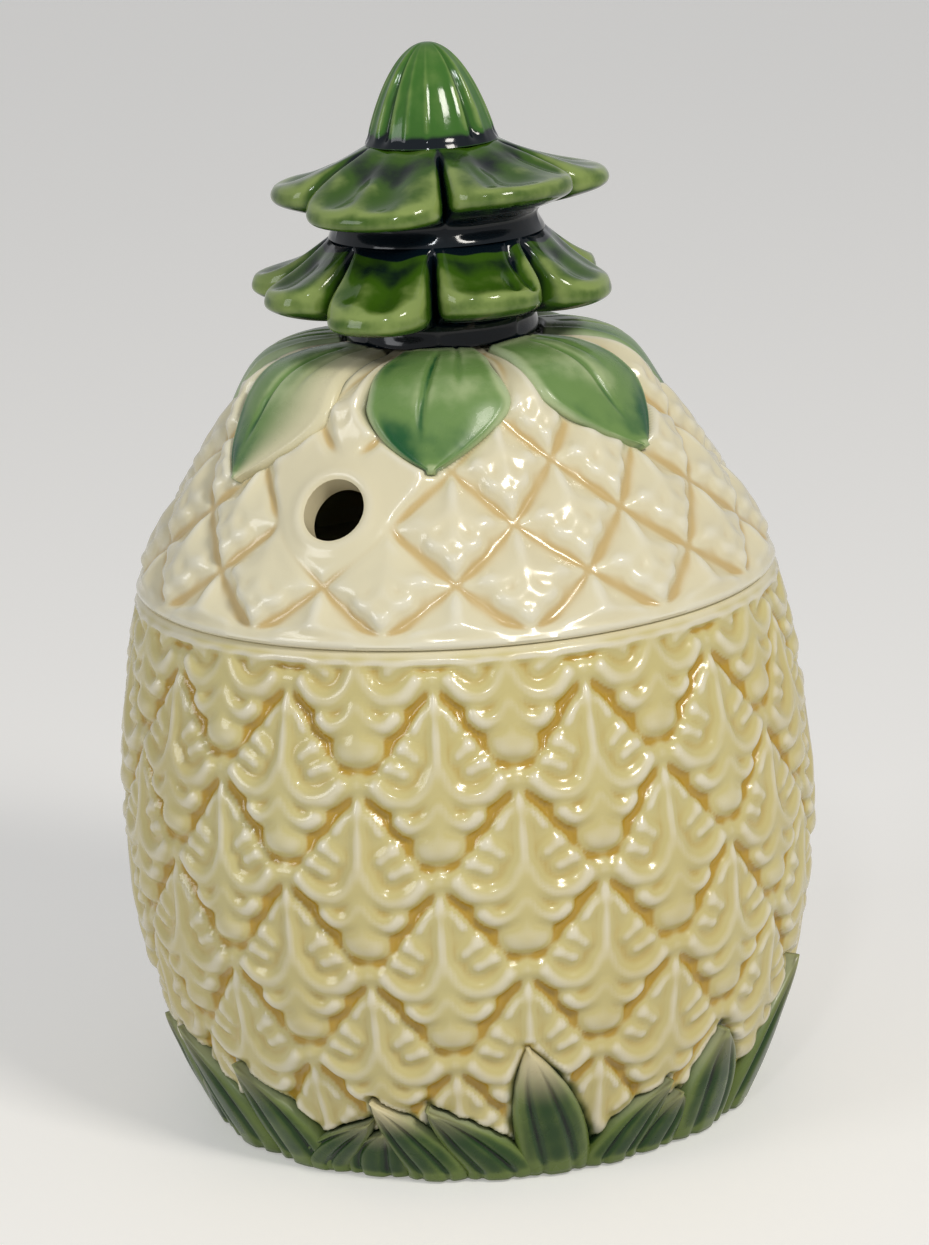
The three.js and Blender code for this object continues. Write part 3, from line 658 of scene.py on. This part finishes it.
def footLeafPlace(leaf, u, v, front):
    # two grooves run up each leaf and sway with it
    f = footLeaf
    height = mix(f["root"] - 1.2, leaf[2], v ** 0.9)
    middle, half = footBlade(leaf, height)
    lens = np.sqrt(np.maximum(1 - u ** 2, 0))
    sway = 0.12 * np.sin(leaf[0] + v * 2.5)
    grooves = sum(bell(u - place - sway, f["grooveWide"]) for place in f["grooves"]) * smooth(v, 0.95, 0.6)
    lift = f["edge"] + f["bulge"] * lens ** 0.8 * (1 - 0.35 * v ** 3)
    lift = lift - f["grooveDepth"] * grooves + f["tipLift"] * smooth(v, 0.55, 1)
    lift = np.where(front, lift - f["shortSink"] * (leaf in shortLeaves), f["back"])
    return middle + half * u, cupOutline(height) + lift, height - 0.1 * lift


def makeFootLeaves():
    f = footLeaf
    facts = {
        "fade": lambda leaf, u, v: f["palest"].get(leaf[2], f["pale"]) * smooth(v, 0.5, 1.0),
        "milk": lambda leaf, u, v: f["milk"] * smooth(v, 0.2, 0.8),
    }
    mesh = makeBlades("footLeaves", footLeaves, f["across"], f["along"], footLeafPlace, facts)
    band = spun(f["band"], [0] * (len(f["band"]) - 1), 120)
    band.from_mesh(mesh)
    band.to_mesh(mesh)
    band.free()
    azimuth, height = polar(pointsOf(mesh))[::2]
    # painted shade: between the leaves, low on the foot, the band is darkened to the pooled colour
    addHollowsAndShade(mesh, 1.2, 0.9 * smooth(fromFootLeaves(azimuth, height), -0.3, 0.4) * smooth(height, 7, 6))
    finished("footLeaves", mesh, footLeafGlaze, "cup", ["foot_leaf_band"])


makeFootLeaves()
print("foot leaves made")

lid = {
    # radius and height of the dome from its rim to the crown's neck
    "outline": [(52.6, 90.8), (48.2, 98.8), (42.3, 108.1), (35.9, 117.5), (30.6, 125.4), (24.0, 128.4),
                (16, 129.2)],
    "rimRadius": 52.6, "rounding": 1.4, "neckHeight": 129.2, "neckRadius": 16, "wall": 5.2,
    "ringInner": 42.9, "roof": 123.2, "rowHeight": 98.9, "turn": 0.6, "rows": 130, "columns": 560,
    "plainDepth": -0.3, "hollowSpread": 1.3, "grooveHollow": 0.22, "leafSeat": 1.0,
    "holeHeight": 109.2, "holeRadius": 5.1, "holeRise": 38, "holeHollow": 0.12,
}
domeLeaf = {
    # azimuth of root and tip, and how far the tip hangs below the neck
    "leaves": [(24, 22, 15), (73, 80, 16), (128, 131, 15), (178, 182, 16), (229, 233, 14), (280, 282, 13),
               (332, 328, 18)],
    "half": 21.2, "taperFrom": 0.38, "taperPower": 1.45, "across": 64, "along": 56,
    # heights of a blade over the dome behind it, in mm
    "edge": -0.9, "bulge": 1.35, "vein": 0.6, "shortVein": 0.3, "rolled": 0.2, "back": -2.4,
    "veinWide": 0.06, "rolledAt": 0.88, "rolledWide": 0.08, "wave": 0.05,
    # the leaf whose green runs out on one side, and the one that is darker on its left, by their roots
    "faded": 332, "leftDark": 73,
}
domeLine = curveThrough(lid["outline"], 24)
domeArc = np.concatenate([[0], np.cumsum(np.hypot(*np.diff(domeLine, axis=0).T))])


def domeRadiusAt(height):
    return float(np.interp(height, domeLine[:, 1], domeLine[:, 0]))


def onDome(arcLength):
    # radius, height and outward lean of the dome at a length along its outline from the rim
    def place(length):
        return (np.interp(length, domeArc, domeLine[:, i]) for i in (0, 1))

    radius, height = place(arcLength)
    radiusBefore, heightBefore = place(arcLength - 0.5)
    radiusAfter, heightAfter = place(arcLength + 0.5)
    return radius, height, np.arctan2(radiusBefore - radiusAfter, heightAfter - heightBefore)


def domeBlade(leaf, height):
    # azimuth of a dome leaf's middle and half of its width in degrees, at a height
    root, tip, drop = leaf
    share = np.clip((lid["neckHeight"] - height) / drop, 0, 1)
    past = np.clip((share - domeLeaf["taperFrom"]) / (1 - domeLeaf["taperFrom"]), 0, None)
    taper = np.maximum(1 - past ** domeLeaf["taperPower"], 0.05)
    return mix(root, tip, share), domeLeaf["half"] * taper


def fromDomeLeaves(azimuth, radius, height):
    # distance in mm from the nearest dome leaf, below 0 inside it
    nearest = np.full(azimuth.shape, farAway)
    for leaf in domeLeaf["leaves"]:
        middle, half = domeBlade(leaf, height)
        beside = (np.abs(angleBetween(azimuth, middle)) - half) * np.pi / 180 * radius
        below = lid["neckHeight"] - leaf[2] - height
        apart = np.where(below > 0, np.hypot(np.maximum(beside, 0), below * 1.2), beside)
        nearest = np.minimum(nearest, apart)
    return nearest


def holeCentre():
    return (0, -domeRadiusAt(lid["holeHeight"]), lid["holeHeight"])


def holeDistance(azimuth, radius, height):
    # distance from the edge of the straw hole, square to its bore
    rise = math.radians(lid["holeRise"])
    along = np.array([0, -math.cos(rise), math.sin(rise)])
    away = fromPolar(azimuth, radius, height) - np.array(holeCentre())
    square = away - (away @ along)[:, None] * along
    return np.where(away @ along > -8, np.linalg.norm(square, axis=1) - lid["holeRadius"], 40)


def lidProfile():
    # the outline from the neck over the dome to the rim, then up inside to the axis
    d = lid
    rim = cup["rimHeight"]
    neck = (d["neckRadius"], d["neckHeight"])
    points = [(0, d["neckHeight"]), neck, (d["rimRadius"], rim + d["rounding"])]
    points += arc(d["rimRadius"] - d["rounding"], rim + d["rounding"], d["rounding"], 0, -90, 5)[1:]
    points += [(d["ringInner"], rim), (d["ringInner"], rim + 3)]
    for share in (0.2, 0.32, 0.45, 0.58, 0.7, 0.82, 0.92):
        height = mix(rim, d["roof"], share)
        points.append((min(d["ringInner"], domeRadiusAt(height) - d["wall"]), height))
    points += [(25.5, 122.3), (21, d["roof"]), (0, d["roof"])]
    return points, [3, d["rows"]] + [0] * (len(points) - 4) + [3]


def cutWith(mesh, cutter):
    holder, tool = (bpy.data.objects.new(part.name, part) for part in (mesh, cutter))
    for item in (holder, tool):
        bpy.context.scene.collection.objects.link(item)
    cut = holder.modifiers.new("cut", "BOOLEAN")
    cut.object, cut.operation, cut.solver = tool, "DIFFERENCE", "EXACT"
    bpy.context.view_layer.update()
    done = bpy.data.meshes.new_from_object(holder.evaluated_get(bpy.context.evaluated_depsgraph_get()))
    for item in (holder, tool):
        bpy.data.objects.remove(item)
    done.name = mesh.name
    done.set_sharp_from_angle(angle=math.radians(50))
    return done


def boreHole(mesh):
    bore = bmesh.new()
    bmesh.ops.create_cone(bore, cap_ends=True, segments=240, radius1=lid["holeRadius"],
                          radius2=lid["holeRadius"], depth=40)
    turn = Matrix.Rotation(math.radians(90 - lid["holeRise"]), 4, "X")
    bmesh.ops.transform(bore, verts=bore.verts[:], matrix=Matrix.Translation(holeCentre()) @ turn)
    done = cutWith(mesh, meshFrom(bore, "strawBore"))
    onWall = np.abs(holeDistance(*polar(pointsOf(done)))) < 2 * onLine
    setAttribute(done, "hollowAndShade", np.where(onWall, lid["holeHollow"], attributeOf(done, "hollowAndShade")))
    return done


def makeLid():
    d = lid
    mesh = meshFrom(spun(*lidProfile(), d["columns"]), "lidDome")
    azimuth, radius, height = polar(pointsOf(mesh))
    azimuth = azimuth + d["turn"]
    rimTop = cup["rimHeight"] + d["rounding"]
    share = (d["rimRadius"] - radius) / (d["rimRadius"] - d["neckRadius"])
    line = mix(rimTop, d["neckHeight"], share)
    outer = (np.abs(height - line) < 2 * onLine) & (share > -0.001) & (share < 1.001)
    domeRadius, domeHeight, lean = onDome(share * domeArc[-1])
    panels, lumps, grooves = carved(azimuth, domeHeight, d["rowHeight"], eyes["lidHalfTall"], d["turn"],
                                    lidPanels, lidLumps, lidGrooves)
    away = fromDomeLeaves(azimuth, domeRadius, domeHeight)
    besideLeaves = smooth(away, -1.0, 1.4)
    toHole = holeDistance(azimuth, domeRadius, domeHeight)
    # it is plain round the hole and along the rim, with a soft lip at the hole
    plain = np.maximum(smooth(toHole, 7.5, 3.0), smooth(domeHeight, 93.2, 91.4) * 0.8)
    relief = mix(panels + lumps * smooth(toHole, 5, 13), d["plainDepth"], plain)
    relief = mix(-d["leafSeat"] + d["plainDepth"], relief, besideLeaves)
    lip = 0.35 * bell(toHole - 1.2, 1.2) - 0.25 * smooth(toHole, 0.6, -0.1)
    relief = relief + lip
    radius = np.where(outer, domeRadius + relief * np.cos(lean), radius)
    height = np.where(outer, domeHeight + relief * np.sin(lean), height)
    setPoints(mesh, fromPolar(azimuth, radius, height))
    pool = d["grooveHollow"] * grooves * outer * (1 - plain) * besideLeaves
    addHollowsAndShade(mesh, d["hollowSpread"], pool)
    inside = ~outer & (height > rimTop)
    setAttribute(mesh, "hollowAndShade", np.where(inside, evenHollow, attributeOf(mesh, "hollowAndShade")))
    setAttribute(mesh, "greenAndShade", smooth(away, 0.5, -0.4) * outer * 0.8)
    setAttribute(mesh, "bare", np.zeros(len(azimuth)))
    finished("lidDome", boreHole(mesh), lidGlaze, "lid", ["lid_dome"])


makeLid()
print("lid made")

ring = {"outer": 46.7, "innerDrop": 7.2, "outerDrop": 7.1, "innerRounding": 0.8, "outerRounding": 0.9,
        "columns": 160, "bareFrom": 7.6, "bareTo": 7.95, "bare": 0.7}


def makeRing():
    r = ring
    top, inner, outer = cup["rimHeight"], lid["ringInner"], r["outer"]
    points = [(inner, top), (inner, top - r["innerDrop"])]
    points += arc(inner + r["innerRounding"], top - r["innerDrop"], r["innerRounding"], 180, 270, 4)[1:]
    points += arc(outer - r["outerRounding"], top - r["outerDrop"], r["outerRounding"], -90, 0, 4)
    points += [(outer, top), (inner, top)]
    mesh = meshFrom(spun(points, [2] + [0] * 6 + [2, 1], r["columns"]), "locatingRing")
    addHollowsAndShade(mesh, 0.8)
    height = pointsOf(mesh)[:, 2]
    setAttribute(mesh, "greenAndShade", np.zeros(len(height)))
    setAttribute(mesh, "bare", smooth(height, top - r["bareFrom"], top - r["bareTo"]) * r["bare"])
    finished("locatingRing", mesh, lidGlaze, "lid_seat", ["lid_locating_ring"])


makeRing()
print("locating ring made")


def domeLeafPlace(leaf, u, v, front):
    # a wavy blade with a vein up the middle, a short one beside it and a rolled edge
    d = domeLeaf
    tip = np.interp(lid["neckHeight"] - leaf[2], domeLine[:, 1], domeArc)
    radius, height, lean = onDome(mix(domeArc[-1] - 0.5, tip, v))
    middle, half = domeBlade(leaf, height)
    side = np.abs(u)
    wave = d["wave"] * np.sin(v * 9 + leaf[0]) * np.sign(u) * smooth(v, 0.1, 0.3) * smooth(v, 1, 0.8)
    half = half * (1 + wave)
    lens = np.sqrt(np.maximum(1 - side ** 3, 0))
    vein = bell(u - 0.12 - 0.12 * np.sin(v * 2.6 + leaf[0]), d["veinWide"])
    vein = vein * smooth(v, 0.85, 0.6) * smooth(v, 0.05, 0.2)
    shortVein = bell(u + 0.45 - 0.25 * v, d["veinWide"]) * smooth(v, 0.6, 0.3)
    lift = d["edge"] + d["bulge"] * lens - d["vein"] * vein - d["shortVein"] * shortVein
    lift = lift + d["rolled"] * bell(side - d["rolledAt"], d["rolledWide"])
    lift = np.where(front, lift, d["back"])
    return middle - half * u, radius + lift * np.cos(lean), height + lift * np.sin(lean)


def domeLeafShade(leaf, u, v):
    side = -u if leaf[0] == domeLeaf["leftDark"] else u
    return 0.28 * smooth(side, 0.1, 1.0) + 0.25 * smooth(v, 0.5, 1.0)


def makeDomeLeaves():
    facts = {
        "fade": lambda leaf, u, v: smooth(u, 0.1, -0.9) * 0.85 * (leaf[0] == domeLeaf["faded"]),
        "milk": lambda leaf, u, v: 0.75 - 0.3 * v,
        "shade": domeLeafShade,
    }
    for number, leaf in enumerate(domeLeaf["leaves"], 1):
        name, node = f"domeLeaf{number}", f"dome_leaf_{number}"
        mesh = makeBlades(name, [leaf], domeLeaf["across"], domeLeaf["along"], domeLeafPlace, facts)
        addHollowsAndShade(mesh, 1.0, attributeOf(mesh, "shade") - 0.05)
        finished(name, mesh, domeLeafGlaze, "lid", [node])


makeDomeLeaves()
print("dome leaves made")

lowerTier = {
    "piece": "crownLowerTier", "node": "crown_lower_tier", "columns": 384, "base": 129.2, "neckShade": 2.0,
    "lip": (18.4, 7.4),  # reach and height of the rows' own lip, before a leaf draws it out
    # azimuth, reach and height of the tip of each leaf
    "leaves": [(-2, 29.4, 5.7), (49, 26, 7.6), (101, 28, 6.4), (152, 29, 7.4), (204, 28, 7),
               (241, 29, 6.4), (279, 31.5, 8), (317, 29.4, 7.6)],
    # radius, height and how far each row follows its leaf
    "rows": [(15.8, 0, 0), (16, 3.7, 0), (17.2, 5, 0.7), (18.2, 6.4, 0.98), (18.4, 8.2, 1),
             (18.4, 10.4, 0.86), (18.3, 13, 0.45), (17.5, 16.4, 0)],
    # azimuth, rows it runs between, width in degrees and depth in mm of each extra groove
    "grooves": [(64, 4.2, 7.2, 2.6, 1.1), (56, 4.6, 6.4, 2.2, 0.5), (-2, 4.6, 6.8, 5, -0.7),
                (-22, 4.4, 6.6, 3, 0.4)],
}
upperTier = {
    "piece": "crownUpperTier", "node": "crown_upper_tier", "columns": 360, "base": 145.6, "neckShade": 0.3,
    "lip": (18.2, 6.8),
    "leaves": [(-5, 26, 4.9), (67, 26.4, 8), (134, 28.8, 6.6), (208, 27, 6), (281, 26.6, 6.6)],
    "rows": [(17.5, 0, 0), (16.8, 3.2, 0), (17.2, 4.8, 0.7), (18, 6, 0.98), (18.2, 7.7, 1),
             (17.8, 9.4, 0.82), (15.4, 11.8, 0.4), (10.7, 14.6, 0)],
    "grooves": [(-5, 4.4, 6.6, 4, -0.4), (48, 4.6, 6.6, 3, 0.4), (88, 4.6, 6.8, 3, 0.5),
                (265, 4.6, 6.8, 3, 0.6)],
}
crownShape = {"stepsPerRow": 9, "dish": 1.7, "crease": 2.0, "seam": 2.6, "even": -0.12, "sharp": 60}


def leafSpans(leaves):
    # start and end azimuth of each leaf of a tier, halfway to its neighbours
    spans = []
    for number, leaf in enumerate(leaves):
        before, after = leaves[number - 1][0], leaves[(number + 1) % len(leaves)][0]
        start = leaf[0] - ((leaf[0] - before) % 360) / 2
        end = leaf[0] + ((after - leaf[0]) % 360) / 2
        spans.append((start, end, leaf))
    return spans


def makeTier(t):
    # the form is spun with a tag for a radius, 10 at the first row, and then placed row by row
    rows = np.array(t["rows"], float)
    steps, firstTag, last = crownShape["stepsPerRow"], 10, len(rows) - 1
    curve = curveThrough(rows, steps)
    points = [(0, 0)] + [(firstTag + i, i) for i in range(len(rows))] + [(0, len(rows))]
    mesh = meshFrom(spun(points, [2] + [steps - 1] * last + [2], t["columns"]), t["piece"])
    azimuth, tag, row = polar(pointsOf(mesh))
    side = (tag > firstTag - onLine) & (np.abs(tag - firstTag - row) < 2 * onLine)
    share = np.clip(row, 0, last)
    radius, rise, follow = (np.interp(share * steps, np.arange(len(curve)), curve[:, i]) for i in range(3))
    across, half, reach, drop = (np.zeros(len(azimuth)) for i in range(4))
    for start, end, leaf in leafSpans(t["leaves"]):
        centre, width = (start + end) / 2, (end - start) / 2
        offset = angleBetween(azimuth, centre)
        mine = np.abs(offset) <= width + 1e-6
        across[mine], half[mine] = offset[mine] / width, width
        reach[mine], drop[mine] = leaf[1], leaf[2]
    edge = np.abs(across)
    out = np.sqrt(np.maximum(1 - edge ** 2.4, 0))
    # leaves are dished on top and creased where they meet
    top = smooth(share, 4.4, 5.8) * smooth(share, 7.3, 6.2)
    dish = top * (1 - smooth(edge, 0.2, 0.9)) * (1 + 0.25 * np.sin(azimuth * 0.23))
    crease = bell((1 - edge) * half, crownShape["crease"]) * smooth(share, 1.5, 3) * smooth(share, 7, 6)
    radius = radius + out * follow * (reach - t["lip"][0]) - 1.3 * crease
    height = t["base"] + rise + out * follow * (drop - t["lip"][1])
    height = height - crownShape["dish"] * dish - 0.9 * crease * smooth(share, 4, 5)
    for groove, low, high, width, depth in t["grooves"]:
        cut = depth * bell(angleBetween(azimuth, groove), width)
        cut = cut * smooth(share, low, low + 0.7) * smooth(share, high, high - 0.7)
        radius, height = radius - 0.5 * cut, height - 0.85 * cut
    # the flat caps under and over the rows
    above = row > 1
    shrink = np.where(above, tag / (firstTag + last), tag / firstTag)
    radius = np.where(side, radius, np.where(above, rows[-1][0], rows[0][0]) * shrink)
    height = np.where(side, height, np.where(above, t["base"] + rows[-1][1], t["base"]))
    setPoints(mesh, fromPolar(azimuth, radius, height))
    mesh.set_sharp_from_angle(angle=math.radians(crownShape["sharp"]))
    # painted shade darkens the necks above and below the leaves and the hidden caps; the glaze is darker
    # between the leaves and thins here and there on their lips
    neck = (0.6 * smooth(share, 3.4, 2.4) + 0.75 * smooth(share, 5.9, 6.9)
            + t["neckShade"] * smooth(share, 6.7, 6.95) + 3 * smooth(share, 0.9, 0.1))
    seam = 0.6 * bell((1 - edge) * half, crownShape["seam"]) * smooth(share, 1.5, 3)
    lip = bell(share - 4.6, 0.4) * smooth(edge, 0.95, 0.7)
    patches = 0.5 + 0.5 * np.sin(azimuth * 0.31 + 2) * np.sin(azimuth * 0.13)
    # painted shade: the flat caps are made near black
    capShade = 3 * (tag < 9.9)
    addHollowsAndShade(mesh, 1.6, neck + seam + capShade - 0.55 * lip * patches + crownShape["even"])
    finished(t["piece"], mesh, crownGlaze, "lid", [t["node"]])


makeTier(lowerTier)
makeTier(upperTier)

bud = {
    "base": 160.2, "radius": 10.4, "height": 15.8, "columns": 360, "rows": 60, "flare": 0.35,
    # azimuths of the deep grooves between the furled leaves, and of the fine veins on them
    "grooves": [-23.5, 70.5, 112, 160, 208, 256, 300], "veins": [2.5, 22.5, 136, 232],
    "grooveDepth": 0.9, "grooveWide": 5.5, "veinRise": 0.18, "veinWide": 3.2,
}


def makeBud():
    form = spun([(bud["radius"], 0), (0.001, bud["height"])], [bud["rows"]], bud["columns"])
    bmesh.ops.contextual_create(form, geom=[edge for edge in form.edges if edge.is_boundary])
    mesh = meshFrom(form, "crownBud")
    azimuth, rise = polar(pointsOf(mesh))[::2]
    share = np.sin(np.clip(rise / bud["height"], 0, 1) * math.pi / 2)
    radius = bud["radius"] * (1 - share ** 1.15) ** 0.5 + bud["flare"] * smooth(share, 0.12, 0) ** 2
    depth = np.zeros(len(azimuth))
    for groove in bud["grooves"]:
        beside = angleBetween(azimuth, groove)
        depth -= bud["grooveDepth"] * bell(beside, bud["grooveWide"])
        depth += 0.2 * bell(np.abs(beside) - 10, 4)  # rolled edge on each side of a groove
    for vein in bud["veins"]:
        depth += bud["veinRise"] * bell(angleBetween(azimuth, vein), bud["veinWide"])
    depth *= np.minimum(1, radius / bud["radius"] * 1.5) * smooth(share, -0.02, 0.16)
    radius = np.maximum(radius + depth, 0)
    setPoints(mesh, fromPolar(azimuth, radius, bud["base"] + share * bud["height"]))
    mesh.set_sharp_from_angle(angle=math.radians(crownShape["sharp"]))
    # painted shade darkens the foot of the bud, where it meets the upper tier
    addHollowsAndShade(mesh, 1.0, 1.2 * smooth(share, 0.17, 0.0))
    finished("crownBud", mesh, budGlaze, "lid", ["crown_bud"])


makeBud()
print("crown made")

studio = {
    "floor": (0.72, 0.71, 0.69, 1), "floorGlow": 0.45, "floorRoughness": 0.6, "floorRadius": 9,
    "world": (0.78, 0.79, 0.81, 1), "worldLight": 0.33, "worldSeen": 0.7,
    "lampAim": (0, 0, 0.09),
    # each lamp: place in metres in front of the camera's side, width, watts, colour
    "lamps": {
        "softKey": ((0.55, -0.75, 0.85), 0.26, 7.2, (1.0, 0.96, 0.89)),
        "leftFill": ((-0.9, -0.5, 0.45), 0.4, 2.2, (0.95, 0.97, 1.0)),
        "smallWindow": ((-0.12, -0.95, 0.75), 0.08, 1.2, (0.94, 0.97, 1.0)),
    },
}
# the photo's camera, fitted to its outlines: metres, millimetres of lens and degrees
view = {"turn": 26.5, "distance": 0.65, "height": 0.24934, "lens": 117.61, "sensor": 36, "clipEnd": 50,
        "yaw": -0.083, "pitch": 14.585, "roll": -3.207}


def seenRay(made):
    # 1 for what the camera sees, straight or in a reflection
    rays = made.add("ShaderNodeLightPath").outputs
    seen = made.maths("MAXIMUM", rays["Is Camera Ray"], rays["Is Glossy Ray"])
    return made.maths("MAXIMUM", seen, rays["Is Transmission Ray"])


def makeFloor():
    form = bmesh.new()
    bmesh.ops.create_circle(form, cap_ends=True, segments=96, radius=studio["floorRadius"])
    mesh = meshFrom(form, "floor")
    floor = bpy.data.objects.new("floor", mesh)
    bpy.context.scene.collection.objects.link(floor)
    paint = bpy.data.materials.new("floorPaint")
    paint.use_nodes = True
    shader = paint.node_tree.nodes["Principled BSDF"]
    shader.inputs["Base Color"].default_value = studio["floor"]
    shader.inputs["Roughness"].default_value = studio["floorRoughness"]
    shader.inputs["Emission Color"].default_value = studio["floor"]
    made = NodeTools(paint.node_tree)
    glow = made.maths("MULTIPLY", seenRay(made), studio["floorGlow"])
    made.feed(shader.inputs["Emission Strength"], glow)
    mesh.materials.append(paint)


def makeWorld():
    world = bpy.data.worlds.new("studioWorld")
    world.use_nodes = True
    sky = world.node_tree.nodes["Background"]
    sky.inputs["Color"].default_value = studio["world"]
    made = NodeTools(world.node_tree)
    strength = made.add("ShaderNodeMapRange")
    strength.inputs["To Min"].default_value = studio["worldLight"]
    strength.inputs["To Max"].default_value = studio["worldSeen"]
    made.feed(strength.inputs["Value"], seenRay(made))
    made.feed(sky.inputs["Strength"], strength.outputs["Result"])
    bpy.context.scene.world = world


def rotated(axis, degrees):
    return Matrix.Rotation(math.radians(degrees), 4, axis)


def makeLamps():
    for name, (place, size, power, colour) in studio["lamps"].items():
        light = bpy.data.lights.new(name, "AREA")
        light.size, light.energy, light.color = size, power, colour
        lamp = bpy.data.objects.new(name, light)
        bpy.context.scene.collection.objects.link(lamp)
        at = rotated("Z", view["turn"]) @ Vector(place)
        facing = (at - Vector(studio["lampAim"])).to_track_quat("Z", "Y").to_matrix().to_4x4()
        lamp.matrix_world = Matrix.Translation(at) @ facing


def makeCamera():
    camera = bpy.data.objects.new("photoCamera", bpy.data.cameras.new("photoCamera"))
    bpy.context.scene.collection.objects.link(camera)
    camera.data.lens, camera.data.sensor_width = view["lens"], view["sensor"]
    camera.data.clip_end = view["clipEnd"]
    place = rotated("Z", view["turn"]) @ Matrix.Translation((0, -view["distance"], view["height"]))
    aim = rotated("Z", view["yaw"]) @ rotated("X", 90 - view["pitch"]) @ rotated("Z", view["roll"])
    camera.matrix_world = place @ aim
    bpy.context.scene.camera = camera


makeFloor()
makeWorld()
makeLamps()
makeCamera()
bpy.context.scene.view_settings.view_transform = "Standard"
print("stage, lamps and camera set")
